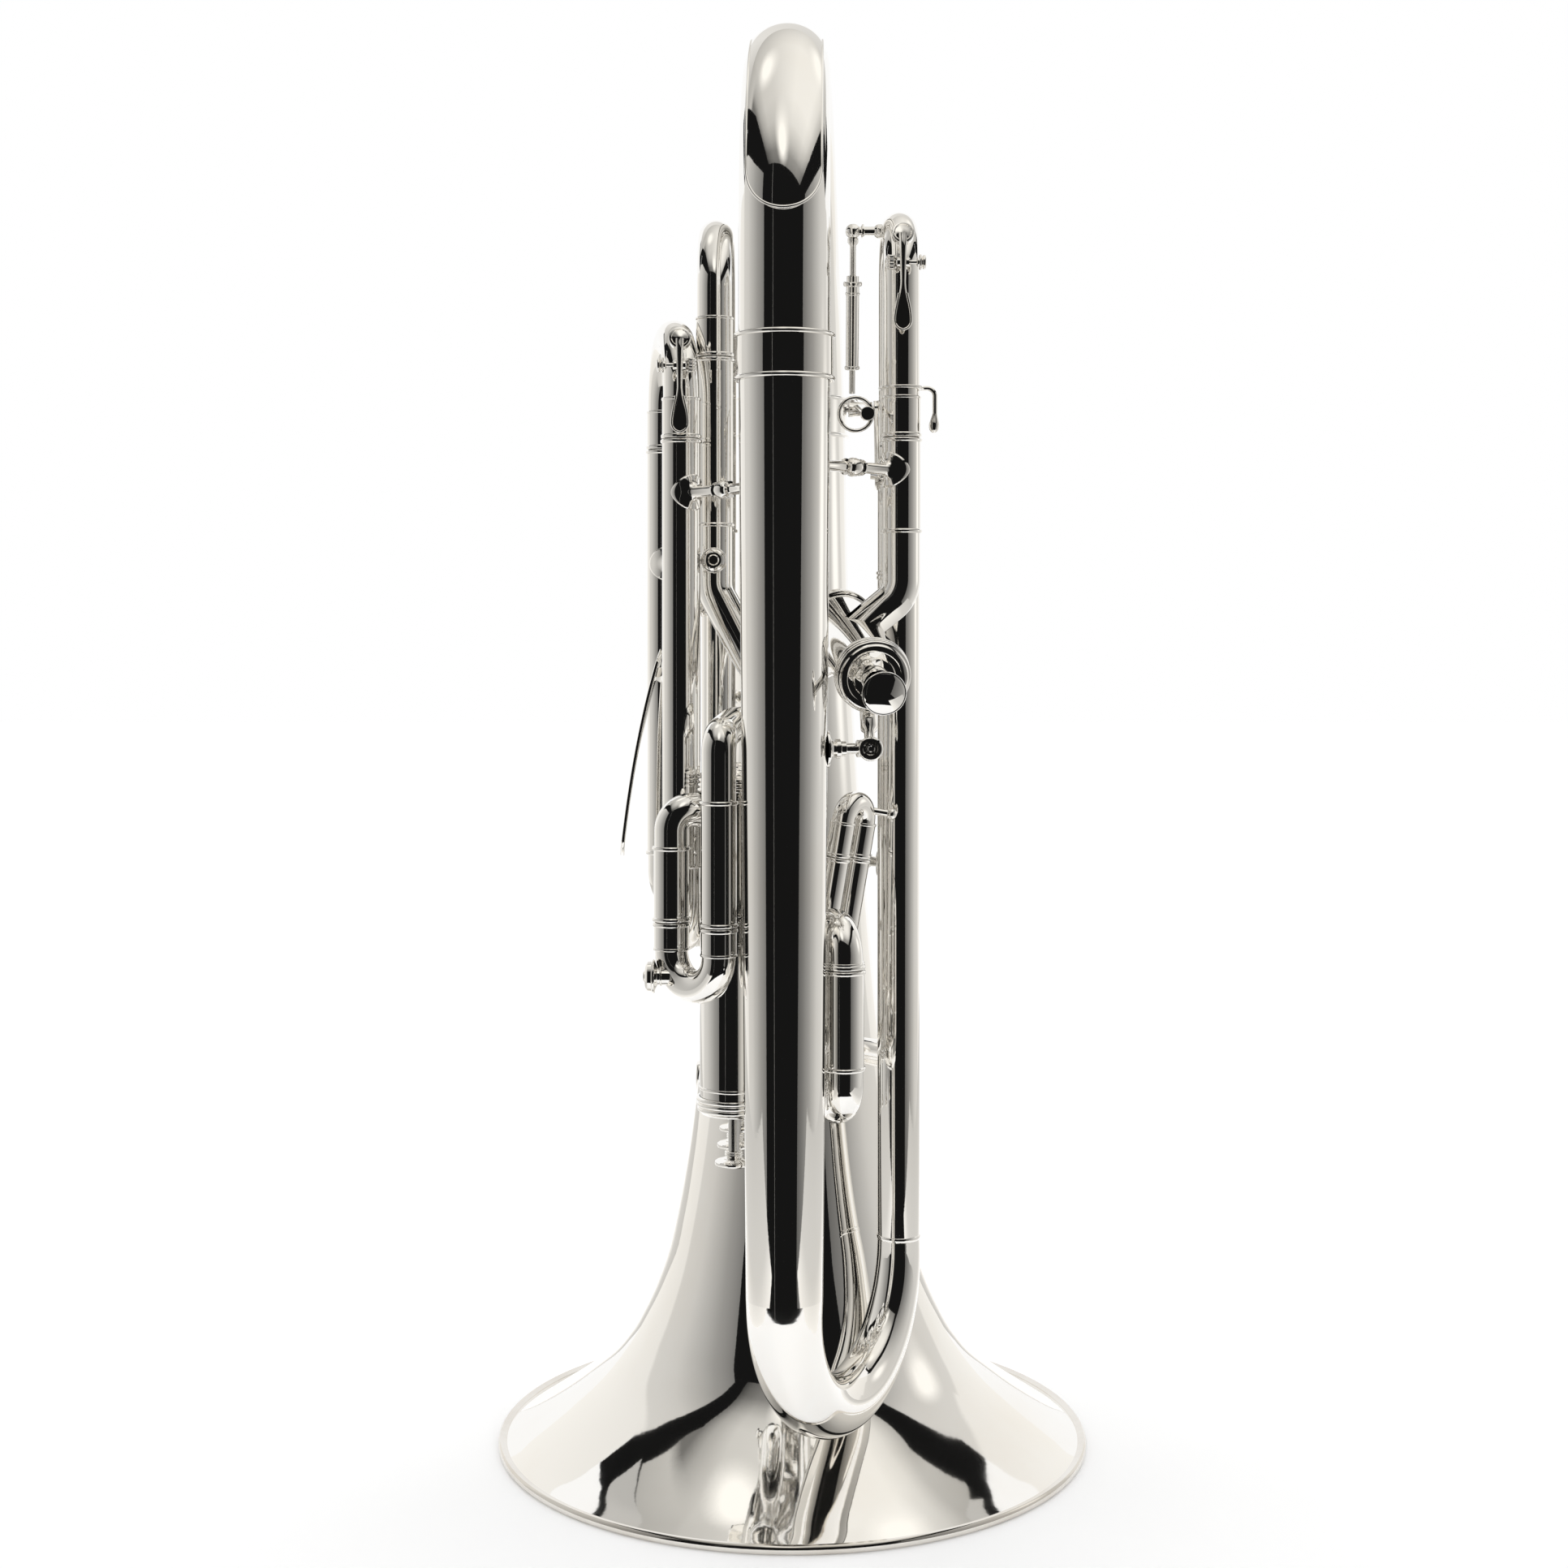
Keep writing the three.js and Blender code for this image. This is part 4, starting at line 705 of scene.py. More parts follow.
def make_upper():
    """The front tube runs to the side valve. The back one turns into the third casing beside it."""
    run, a, b = UPPER_FOOT, UPPER.a, UPPER.b
    form = sleeve(Form(), a, UPPER.low, UPPER.seat)
    corners = [at(a, UPPER.low + RING.width), at(a, run.drop), point(*run.dip), point(*run.end)]
    foot(form, corners, run.bend, SIDE_WALL, back=CASING.radius)
    pipe_brace(form, b, a, BRACE_AT.upper)
    push_housing(form, at(a, PUSH_KEY.z), FRONT, PIPE + PUSH_KEY.reach)
    plate(form, "upper_tube_front", "skin")
    form = sleeve(Form(), b, UPPER.low, UPPER.seat)
    corner = at(b, run.back_z)
    inward = unit(at(casing_column(2), run.back_z) - corner)
    foot(form, [at(b, UPPER.low + RING.width), corner, corner + inward * 8], run.back_bend, back=6, steps=10)
    bell_brace(form, b, PIPE, BRACE_AT.upper_bell)
    plate(form, "upper_tube_back", "skin")
    plate(crook(UPPER), "upper_slide", "crook", "upper_crook")


def push_housing(form, root, away, length, wide=NUB.head):
    """A turned housing for a push key, with a bead on its neck and one round its head."""
    head, neck, bore = length - NUB.length, NUB.neck, NUB.bore
    profile = [(neck, 0), (neck, head - 3)] + bead(neck, head - 3, head - 2, 0.5)
    profile += [(neck, head - 1), (wide - 1.2, head)] + bead(wide - 0.7, head, head + 1.6, 0.7)
    profile += [(wide - 0.9, length - 1.2), (wide - 2, length - 0.3), (wide - 3, length), (bore + 0.6, length)]
    profile += [(bore, length - 0.5), (bore, head - NUB.travel), (0, head - NUB.travel)]
    return lathed(form, profile, root, away)


def make_plunger(slide, root, away, length):
    """A push key's plunger, which stands a little out of its housing."""
    start, tip, size = length - NUB.length + NUB.seat, length + NUB.proud / 2, NUB.plunger
    profile = [(0, start), (size, start), (size, tip - 0.8), (size * 0.8, tip - 0.2), (0, tip)]
    key_piece(lathed(Form(), profile, root, away), slide, "plunger")


def make_third():
    head, end, a, b = THIRD_HEAD, THIRD_END, THIRD.a, THIRD.b
    form = sleeve(Form(), a, THIRD.seat, THIRD.top, SMALL)
    corners = [at(a, THIRD.top - RING.width), at(a, head.rise)]
    corners += [point(*place) for place in (head.over, head.beside, end.drop, end.end)]
    foot(form, corners, head.bend, casing_wall(1), size=SMALL, slack=0.3)
    plate(form, "third_tube_front", "skin")
    form = sleeve(Form(), b, THIRD.seat, THIRD.back_top, SMALL)
    corners = [at(b, THIRD.back_top - RING.width), at(b, end.elbow), beside_first_casing(b, end.elbow)]
    foot(form, corners, head.bend, casing_wall(0), size=SMALL, slack=0.3)
    brace(form, FOURTH.a, PIPE, b, SMALL.radius, BRACE_AT.third)
    plate(form, "third_tube_back", "skin")
    root, reach = point(THIRD_KEY.inner, THIRD_KEY.y, THIRD_KEY.z), THIRD_KEY.inner - THIRD_KEY.outer
    form = push_housing(crook(THIRD, SMALL), root, LEFT, reach, THIRD_KEY.head)
    plate(form, "third_slide", "crook", "third_crook")
    make_plunger("third", root, LEFT, reach)
    make_plunger("upper", at(UPPER.a, PUSH_KEY.z), FRONT, PIPE + PUSH_KEY.reach)


def make_second():
    run, a, b = SECOND_FOOT, SECOND.a, SECOND.b
    form = sleeve(Form(), a, SECOND.low, SECOND.seat)
    corners = [at(a, SECOND.low + RING.width)] + [at(place, run.z) for place in (a, run.turn, run.end)]
    foot(form, corners, run.bend, casing_wall(1))
    plate(form, "second_tube_front", "skin")
    form = sleeve(Form(), b, run.back_low, SECOND.seat)
    corners = [at(b, run.back_low + RING.width), at(b, run.back_z), beside_first_casing(b, run.back_z)]
    foot(form, corners, THIRD_HEAD.bend, casing_wall(0))
    plate(form, "second_tube_back", "skin")
    plate(crook(SECOND), "second_slide", "crook", "second_crook")


def make_first():
    """The first slide is made upright and leans about its front leg's top."""
    pivot = point(FIRST.a[0], 0, FIRST.top)
    low, seat = FIRST.top - FIRST.length, FIRST.top - FIRST.seat_drop
    for name, column, corner_z in (("front", FIRST.a, FIRST_FOOT.front), ("back", FIRST.b, FIRST_FOOT.back)):
        form = sleeve(Form(), column, low, seat, TINY).leaned(pivot)
        start, corner = (leaned_point(at(column, z), pivot) for z in (low + RING.width, corner_z))
        end = point(FIRST_FOOT.end_x, casing_column(1)[1], corner[2])
        foot(form, [start, corner, end], FIRST_FOOT.bend, casing_wall(1), back=6, size=TINY, slack=0.3)
        plate(form, "first_tube_" + name, "skin")
    form = crook(Sizes(a=FIRST.a, b=FIRST.b, insert=FIRST.insert, seat=seat, crook=FIRST.top), TINY)
    knob = at(FIRST.b, FIRST.top - FIRST_KNOB.drop)
    rod(form, knob, knob + RIGHT * FIRST_KNOB.reach, FIRST_KNOB.rod)
    ball(form, knob + RIGHT * (FIRST_KNOB.reach + 0.4), FIRST_KNOB.ball)
    plate(form.leaned(pivot), "first_slide", "crook", "first_crook")


# Valves
def make_casing(start, end):
    """A valve's casing with a fine bead near each end."""
    length = np.linalg.norm(end - start)
    radius, bore = CASING.radius, CASING.bore
    outside = bead(radius, 9, 10.6, 0.35) + bead(radius, length - 10.6, length - 9, 0.35)
    profile = [(bore, 0), (radius, 0), (radius, 9)] + outside + [(radius, length), (bore, length)]
    return turned(Form(), profile, start, end, CAP_SIDES, closed=True)


def make_cap(name, start, outward, hole):
    """A screwed cap with three soft grip rings and a stepped top."""
    radius, length, thick = CAP.radius, CAP.length, CAP.thickness
    inside, centre = CASING.radius + 0.25, CAP.bore if hole else 0
    profile = [(centre, length - thick), (inside, length - thick), (inside, 0)]
    for i in range(3):
        profile += bead(radius - 0.8 - 0.25 * i, 0.1 + 2.2 * i, 2.2 + 2.2 * i, 0.8)
    profile += [(radius - 1.9, length - 1.7), (radius - 2.4, length - 0.7), (radius - 3.2, length - 0.4)]
    steps = ((0.72, 0.4), (0.7, 0.9), (0.56, 0.9), (0.53, 0.2), (0.36, 0), (0.33, 0.5))
    profile += [(radius * share, length - drop) for share, drop in steps]
    profile += [(centre + 1.2, length - 0.5), (centre, length - (0.2 if hole else 0.5))]
    plate(turned(Form(), profile, start, start + outward, CAP_SIDES, closed=hole), name, "turned")


def make_button(tip, axis, radius):
    """A finger button: beaded neck, wide cup with a thin bright edge and a domed face. It faces against the axis."""
    thick, neck = PISTON.thickness, PISTON.stem + 1.2
    face, dome = radius - 0.5, PISTON.dome
    profile = [(0, -2.2)] + bead(neck - 0.2, -2.2, -1.1, 0.7) + bead(neck - 0.2, -1.1, 0, 0.7)
    profile += [(neck, 0.4), (neck + 1.2, 1.0), (radius - 1.2, 1.7), (radius - 0.1, 2.5), (radius, thick - 0.9)]
    profile += [(radius - 0.15, thick - 0.6), (radius - 0.4, thick - 0.5), (face - 0.1, thick - 0.75)]
    across = (0.96, 0.85, 0.7, 0.55, 0.4, 0.25, 0.1, 0)
    profile += [(face * share, thick - 0.7 + dome * (1 - share ** 2)) for share in across]
    return turned(Form(), profile, tip, tip - axis, CAP_SIDES)


def make_spring(name, start, end):
    side, other = frame_of(unit(end - start))
    steps = SPRING.turns * SPRING.steps
    path = []
    for i in range(steps + 1):
        angle = math.tau * i / SPRING.steps
        out = (side * math.cos(angle) + other * math.sin(angle)) * SPRING.radius
        path.append(start + (end - start) * i / steps + out)
    finish(tube(Form(), path, SPRING.wire, sides=COIL_SIDES), name + "_coil", "body", [name], STEEL)


def make_valve(prefix, start, end, button, exposed, add_to_casing):
    axis = unit(end - start)
    length = np.linalg.norm(end - start)
    form = make_casing(start, end)
    add_to_casing(form)
    plate(form, prefix + "_casing", "tube")
    cap_foot = CAP.length - CAP.thickness - CLEARANCE
    make_cap(prefix + "_stem_cap", start + axis * cap_foot, -axis, True)
    make_cap(prefix + "_bottom_cap", end - axis * cap_foot, axis, False)
    size, stem = CASING.bore - CLEARANCE, PISTON.stem
    tip, low = -CAP.thickness - exposed, PISTON.rest
    high = low + min(PISTON.length, length * SIDE.piston_share)
    hollow, floor = SPRING.radius + SPRING.wire + CLEARANCE, high - PISTON.hollow
    profile = [(0, tip), (stem, tip), (stem, low - 0.5), (stem + 1.5, low), (size - 0.6, low), (size, low + 0.6)]
    profile += [(size, high - 0.6), (size - 0.6, high), (hollow, high), (hollow, floor), (0, floor)]
    finish(turned(Form(), profile, start, end, PISTON_SIDES), prefix + "_piston_turned", prefix + "_plunger",
           [prefix + "_piston"], MONEL)
    finish(make_button(start + axis * (tip - CLEARANCE), axis, button), prefix + "_button_turned",
           prefix + "_plunger", [prefix + "_finger_button"], SILVER)
    gap = SPRING.wire + CLEARANCE
    make_spring(prefix + "_spring", start + axis * (high + gap), end - axis * gap)


def casing_fittings(form, i):
    """The links from one top valve's casing to the next, and the braces of the first and the third."""
    column = casing_column(i)
    if i < 2:
        far = casing_column(i + 1)
        for z in LINK.levels:
            path = [point(column[0], column[1] + 9, z), point(far[0], far[1] - CASING.radius - 1, z)]
            tube(form, path, LINK.radius, casing_wall(i + 1), FINE_SIDES)
    if i == 0:
        leg_brace(form, column, CASING.radius, BRACE_AT.first_casing)
    if i == 2:
        bell_brace(form, column, CASING.radius, BRACE_AT.third_casing)


def make_valves():
    for i in range(3):
        column = casing_column(i)
        make_valve("valve_%d" % (i + 1), at(column, CASING.low), at(column, CASING.top), PISTON.button,
                   PISTON.exposed, lambda form, i=i: casing_fittings(form, i))
    make_valve("valve_4", SIDE_START, SIDE_END, SIDE.button, SIDE.exposed, side_stay)


def side_stay(form):
    """Stepped rod from the main leg to a ball joint, and a strut from the ball up to the side valve."""
    knob, top, z = point(*STAY.ball), point(*STAY.top), STAY.ball[2]
    size, flange, thin = STAY.knob, BRACE.flange, STAY.rod
    start = at(LEG.at, z)
    begin = start + unit(knob - start) * (leg_radius(z) - 0.6)
    reach, climb = np.linalg.norm(knob - begin), np.linalg.norm(top - knob)
    profile = [(flange, 0), (flange, 0.9), (flange - 0.6, 1.4)]
    steps = ((1.8, 2.2), (0.7, 4.2), (1.9, 4.7), (1.9, 6.4), (0.9, 6.9), (0.9, 9), (0, 9.4))
    profile += [(thin + more, distance) for more, distance in steps]
    profile += [(thin, reach - 6.2), (thin + 1.5, reach - 6), (thin + 1.5, reach)]
    turned(form, profile, begin, knob, FINE_SIDES)
    profile = [(thin, 0), (thin, climb * 0.3), (thin + 1.4, climb * 0.36), (thin + 1.4, climb)]
    turned(form, profile, knob, top, FINE_SIDES)
    ball(form, knob, size)
    profile = [(size - 0.6, 0)] + bead(size - 0.8, 0.6, 3.2, 1.3) + [(size - 1.4, 3.0), (size - 1.8, 1.0)]
    profile += [(2.2, 1.0), (2.1, 2.0)]
    profile += [(1.5 + 0.6 * math.cos(t), 2.0 + 0.6 * math.sin(t)) for t in (0, 0.8, 1.6, 2.4, math.pi)]
    lathed(form, profile + [(0.8, 1.2), (0, 1.2)], knob + point(0, -size + 2.2, 0), FRONT)


# Mouthpipe and receiver behind the bell
def make_mouthpipe():
    path, radius, end_z = WRAP.path, WRAP.radius, WRAP.end_z
    points = [at(casing_column(2), WRAP.start_z)]
    for share in shares(WRAP_STEPS):
        angle = mixed(WRAP.start, WRAP.end, share)
        points.append(point(math.cos(angle) * path, math.sin(angle) * path, mixed(WRAP.start_z, end_z, share)))
    points = [point(-radius, path, end_z)] + points[::-1]
    inward = unit(points[-1] - points[-2])
    form = tube(Form(), points[:-1] + [points[-2] + inward * 3], radius, casing_wall(2))
    plate(form, "mouthpipe", "tube")
    length, lip, floor = RECEIVER.length, RECEIVER.length - RECEIVER.lip, RECEIVER.length - RECEIVER.depth
    root, mouth = radius + 0.9, RECEIVER.mouth
    profile = [(0, 0), (root, 0)] + bead(root, 0.2, 2.2, 0.7) + [(mouth - 1, lip)]
    profile += bead(mouth - 0.9, lip, length, 0.9) + [(RECEIVER.bore, length), (radius - 0.4, floor), (0, floor)]
    start = point(-radius - CLEARANCE, path, end_z)
    form = turned(Form(), profile, start, start + LEFT)
    finish(form, "receiver_turned", "body", ["mouthpiece_receiver"], SILVER)


# Trigger for the tuning slide
def make_trigger_bracket():
    """The tuning slide's front sleeve, with the bracket and the pin that carry the trigger lever."""
    form = sleeve(Form(), TUNING.a, TUNING.low, TUNING.seat)
    leg_brace(form, TUNING.a, PIPE, BRACE_AT.tuning_leg)
    eye = point(TRIGGER.x + TRIGGER.plate / 2, TRIGGER.y, TRIGGER.z)
    root = point(eye[0], (TRIGGER.front + TRIGGER.back) / 2, TRIGGER.pad_low + 4)
    arm = curve_through([root, mixed(root, eye, 0.55) + point(0, -2.5, 0), eye])
    strap(form, arm, lambda s: mixed(5.4, 3.6, s), 1.3, BACK)
    pad = point(TUNING.a[0] - PIPE + 1, TUNING.a[1], (TRIGGER.pad_low + TRIGGER.pad_high) / 2)
    lathed(form, [(6.5, -1), (6.5, 1.6), (5.6, 2.4), (4, 3.4), (3.6, 6.5)], pad, LEFT)
    lathed(form, rounded([(0, -1.6), (TRIGGER.eye, -1.6), (TRIGGER.eye, 1.2), (0, 1.2)], 0.5), eye, LEFT)
    pin_end = point(TRIGGER.x - PIN.length, TRIGGER.y, TRIGGER.z)
    rod(form, eye, pin_end, PIN.radius)
    wide, thick = PIN.head, PIN.head_length
    lathed(form, [(0, 0), (wide, 0), (wide, thick * 0.6), (wide - 0.6, thick), (0, thick)], pin_end, LEFT)
    plate(form, "tuning_sleeve_front", "tube")


def make_lever(pivot, knob):
    """The trigger lever: a hub on the pin, an arm back to the rod's ball and one forward to the thumb ring."""
    hub, bore, length = LEVER.hub, LEVER.bore, LEVER.length - CLEARANCE
    outside = rounded([(bore, 0), (hub, 0), (hub, length), (bore, length)], 0.5)
    form = lathed(Form(), [(bore, 0)] + outside + [(bore, length)],
                  point(TRIGGER.x - CLEARANCE, TRIGGER.y, TRIGGER.z), LEFT, closed=True)
    hoop = point(LEVER.x, TRIGGER.y - THUMB.reach, TRIGGER.z - THUMB.drop)
    barrel = hoop + RIGHT * THUMB.barrel_x

    def arm(end, rise, width, thick):
        start = pivot + unit(end - pivot) * (hub - 0.9)
        middle = mixed(pivot, end, 0.5) + UP * rise
        strap(form, [start, middle, end], lambda s: mixed(LEVER.root, width, s), thick, RIGHT)

    arm(knob, 1.2, 1.7, 1.5)
    ball(form, knob, LEVER.ball)
    arm(barrel, 2, 2.2, 1.4)
    ring = [hoop + point(math.cos(a), 0, math.sin(a)) * THUMB.radius for a in circle(72, closed=True)]
    tube(form, ring, THUMB.wire, sides=WIRE_SIDES)
    size, front = THUMB.barrel, THUMB.barrel_length
    profile = [(size - 0.5, -1.5), (size, -1), (size, front - 0.6)] + bead(size - 0.5, front - 0.8, front, 0.5)
    profile += [(size - 1, front), (size - 1.2, front - 1), (1.3, front - 1), (1.2, front - 0.4), (0, front - 0.4)]
    lathed(form, profile, barrel, FRONT)
    plate(form, "trigger_lever", "forged", "trigger")


def make_trigger():
    make_trigger_bracket()
    pivot = point(LEVER.x, TRIGGER.y, TRIGGER.z)
    knob = pivot + point(0, LEVER.reach, LEVER.rise)
    make_lever(pivot, knob)
    make_link_rod(knob)


def stub_end():
    """The end of the stub on the tuning slide, where the trigger's rod hangs."""
    return point(LEVER.x, (TUNING.a[1] + TUNING.b[1]) / 2, ROD.stub_z)


def make_link_rod(knob):
    """The rod from the tuning slide's stub down to just above the lever's ball."""
    top = stub_end()
    low = knob + UP * (LEVER.ball + ROD.gap)
    start = top + unit(low - top) * (ROD.knuckle + 0.1)
    length = np.linalg.norm(low - start)
    thin, wide, ring = ROD.thin, ROD.tube, ROD.collar
    collar, end = length * 0.27, length * 0.84
    profile = [(0, -1), (thin * 1.7, -0.6), (thin * 1.7, thin), (thin, thin * 2), (thin, collar - 3)]
    profile += [(thin + 1.4, collar - 2.6), (thin + 1.4, collar)] + bead(ring - 0.4, collar, collar + 2.2, 0.5)
    profile += [(wide, collar + 2.4), (wide, collar + 5)] + bead(wide, collar + 5, collar + 6.4, 0.4)
    profile += [(wide, end - 2)] + bead(wide, end - 2, end, 0.6)
    profile += [(thin, end + 0.2), (thin, length - 0.4), (0, length)]
    plate(turned(Form(), profile, start, low, FINE_SIDES), "trigger_rod", "turned", "tuning_crook")


# Water keys, the slides that carry them and the hand rest
def spoon_width(share):
    """A water key's half width: it narrows to its neck and opens to a drop-shaped spoon."""
    if share < 0.5:
        return mixed(1.9, 1.2, share / 0.5)
    along = (share - 0.5) / 0.5
    if along < KEY.belly:
        t = along / KEY.belly
        return mixed(1.2, KEY.spoon, t * t * (3 - 2 * t))
    return KEY.spoon * math.sqrt(max(1 - ((along - KEY.belly) / (1 - KEY.belly)) ** 2, 0.01))


def water_key(slide, column, key):
    """A lever on a cross hinge in front of a crook: padded cup above, slim neck and a rimmed spoon below."""
    x, y = column[0], column[1] - PIPE - KEY.stand
    side, hinge, pad, spoon, cup, front = key.side, key.hinge, key.pad, key.spoon, KEY.pad, 3.0
    places = ((1.2, pad), (2.4, mixed(pad, hinge, 0.5)), (2.2, hinge), (1.6, mixed(hinge, spoon, 0.35)),
              (0.2, spoon + 3), (0.8, spoon - KEY.spoon))
    path = curve_through([point(x, y - ahead, z) for ahead, z in places])
    form = strap(Form(), path, spoon_width, lambda s: steps_between(KEY_DEPTHS, s), RIGHT, 0.95)
    edge = [(place, RIGHT * spoon_width(share)) for place, _, _, _, share in frames_along(path) if share > 0.6]
    tube(form, [p - w for p, w in edge] + [p + w for p, w in reversed(edge)], 0.62, sides=10)
    disc = [(0, -1.6), (cup - 0.7, -1.6), (cup, -0.9), (cup, front - 0.9)] + bead(cup - 0.5, front - 1.0, front, 0.5)
    disc += [(cup - 1.1, front), (cup - 1.5, front - 0.5), (2.2, front - 0.4), (0, front + 0.1)]
    turned(form, disc, point(x, y + 1.8, pad), point(x, y, pad + 0.4), FINE_SIDES)
    hub, long = KEY.hub, KEY.length
    left, right = (point(x + way * side * long / 2, y, hinge) for way in (-1, 1))
    barrel = [(hub - 0.5, 0), (hub, 0.5), (hub, long - 0.5), (hub - 0.5, long), (0.95, long), (0.95, long + 3)]
    turned(form, barrel, left, right, FINE_SIDES)
    screw, length = KEY.screw, KEY.screw_length
    profile = [(1.3, 0), (2.1, 0.5), (2.1, 1.2)] + bead(screw - 0.6, 1.2, 2.4, 0.6) + [(screw - 1.1, 2.6)]
    profile += bead(screw - 0.8, 2.8, 1 + length, 0.5) + [(screw - 1.8, length + 1.3), (0, length + 1.4)]
    lathed(form, profile, right + RIGHT * side * 3, RIGHT * side)
    key_piece(form, slide, "lever")


def lugs(form, column, key):
    """The post and the saddle on the crook that hold a water key's hinge, and the nipple under its pad."""
    x, y, side = column[0], column[1] - PIPE - KEY.stand, key.side
    rod(form, at(column, key.hinge), point(x, y + KEY.hub + 0.15, key.hinge), 2.2)
    rod(form, at(column, key.pad), point(x, column[1] - PIPE - 1.0, key.pad), 2.4)
    post = point(x - side * (KEY.length / 2 + 2), y + 0.6, key.hinge)
    for offset in (-2.4, -0.8, 0.8, 2.4):
        start = post + UP * offset
        turned(form, [(0, -0.9)] + bead(1.7, -0.8, 0.8, 0.7) + [(0, 0.9)], start, start + UP, 24)
    strap(form, [post + point(side * 0.6, 8, 0), post + point(0, 4, 0), post], 1.6, 1.4, UP)


def finger_hook(form):
    """A wire hook with a drop-shaped end beside the tuning slide, on a thin collar at its ferrule."""
    x, y = TUNING.a
    z, size, drop = HOOK.z, HOOK.tear, HOOK.z - HOOK.drop
    collar, far = at(TUNING.a, z), x + HOOK.reach_x
    turned(form, [(PIPE - 0.6, -0.7)] + bead(PIPE + 1.2, -0.7, 0.7, 0.5) + [(PIPE - 0.6, 0.7)], collar, collar + UP)
    path = route([point(x + PIPE, y, z), point(far, y, z), point(far, y, drop)], HOOK.bend, 12)
    tube(form, path, HOOK.wire, sides=16)
    tear = [(0.9, 0), (size * 0.6, 2.5), (size, 6), (size * 0.8, 8.4), (size * 0.4, 9.4), (0, 9.7)]
    turned(form, rounded(tear, 2, 5), point(far, y, drop + 3), point(far - 0.6, y, drop - 7), 32)


def make_keys():
    form = crook(TUNING)
    lugs(form, TUNING.a, TUNING_KEY)
    finger_hook(form)
    tip, stub = stub_end(), ROD.stub
    start = point(TUNING.a[0], tip[1], ROD.stub_z)
    length = np.linalg.norm(tip - start)
    profile = [(0, 0), (3.4, 0), (3.4, 9.8), (stub + 0.8, 10.6), (stub, 11.4), (stub, length - 5.4)]
    profile += [(stub + 1.2, length - 5), (stub + 1.2, length - 4.2), (stub, length - 3.8), (stub, length)]
    turned(form, profile, start, tip, FINE_SIDES)
    ball(form, tip, ROD.knuckle)
    plate(form, "tuning_slide", "crook", "tuning_crook")
    water_key("tuning", TUNING.a, TUNING_KEY)
    form = crook(FOURTH)
    lugs(form, FOURTH.a, FOURTH_KEY)
    plate(form, "fourth_slide", "loop", "fourth_crook")
    water_key("fourth", FOURTH.a, FOURTH_KEY)


def make_hand_rest():
    """A bowed blade on a short foot from the fourth slide's back sleeve."""
    width, y, z = REST.width / 2, REST.y, REST.foot_z
    top, bulge, low = (point(x - 1, y, height) for x, height in
                       ((REST.near, REST.top), (REST.bulge, REST.bulge_z), (REST.far, REST.low)))
    path = [top * (1 - t) ** 2 + bulge * 2 * t * (1 - t) + low * t ** 2 for t in shares(CROOK_STEPS)]
    form = strap(Form(), path, lambda s: width * min(1, *(math.sqrt(max(end, 0.002) / 0.06) for end in (s, 1 - s))),
                 REST.thickness / 2, BACK, 0.35)
    start, end = point(REST.near - 3, y, z), point(FOURTH.b[0], FOURTH.b[1] - PIPE + 0.8, z)
    rod(form, start, end, REST.foot - 0.6)
    turned(form, [(5.5, 0), (5.5, 0.8), (4, 1.4), (2.4, 3)], end, start, FINE_SIDES)
    plate(form, "hand_rest", "blade")


# Studio: the object stands on a white table in a small tent of lit sheets, open to a dark room on the camera's side
SHEETS = Sizes(x=0.815, low=-0.3, far=1.2, left_back=0.33, right_back=0.52, left_front=-0.78, right_front=-0.86,
               right_toe=-1.3)
LEFT_TOP = ((-0.78, 1.1), (-0.4, 1.03), (0.0, 1.0), (0.25, 0.93), (0.37, 0.84))
RIGHT_TOP = ((-0.86, 0.924), (0.0, 0.945), (0.15, 0.945), (0.27, 0.907), (0.34, 0.862), (0.42, 0.8))
SHEET_TONES = (
    (-1.3, 0.1), (-0.78, 0.2), (-0.44, 0.33), (-0.29, 0.43), (-0.145, 0.52), (0.0, 0.62), (0.15, 0.66), (0.52, 0.72),
)
FAR_TONES = ((0.3, 0.84), (0.8, 0.92), (1.2, 0.97))
SHEET_GLOW = (0.17, 0.49, 0.16, 0.18)
ROOF = Sizes(left=-0.78, left_z=1.331, right=0.683, right_z=1.048, front=-1.08, back=0.43)
ROOF_ACROSS = (
    (-0.78, 0.18), (-0.65, 0.42), (-0.45, 0.64), (-0.2, 0.69), (0.0, 0.82), (0.15, 0.92), (0.45, 0.93), (0.56, 0.8),
    (0.683, 0.48),
)
ROOF_ALONG = ((-1.08, 0.25), (-0.85, 0.35), (-0.7, 0.6), (-0.5, 0.88), (-0.3, 1.0), (0.1, 1.0), (0.43, 0.78))
ROOF_GLOWS = ((-0.28, 0.0, 0.17, 0.14), (0.37, 0.24, 0.12, 0.14), (-0.07, -0.72, 0.17, 0.32))
ROOF_LEFT = ((-1.08, -0.78), (-0.1, -0.79), (0.03, -0.85), (0.23, -0.92), (0.43, -1.0))
ROOF_RIGHT = ((-1.08, 0.683), (0.1, 0.69), (0.24, 0.724), (0.43, 0.78))
BACKDROP = Sizes(y=0.46, left=-0.774, left_low=0.98, left_top=-1.06, right=0.7, right_low=0.93, right_top=0.86,
                 high=1.4)
BACKDROP_TONES = ((-0.78, 0.5), (-0.2, 0.8), (0.3, 0.7), (0.56, 0.55))
BACK_WALL = Sizes(y=0.48, left_inner=-0.5, left_low=0.93, right_inner=0.5, right_low=0.86, high=1.6)
SLIT = Sizes(x=-0.97, y=-1.9, width=0.02, low=-0.8, high=2.2, tone=0.3)
SKIRT = Sizes(inner=0.27, front=-0.5, back=1.2, z=0.002)
SKIRT_TONES = ((0.27, 1.0), (0.34, 0.85), (0.42, 0.68), (0.815, 0.6))
DARK = 0.008
GLOW_TONE = 1.08
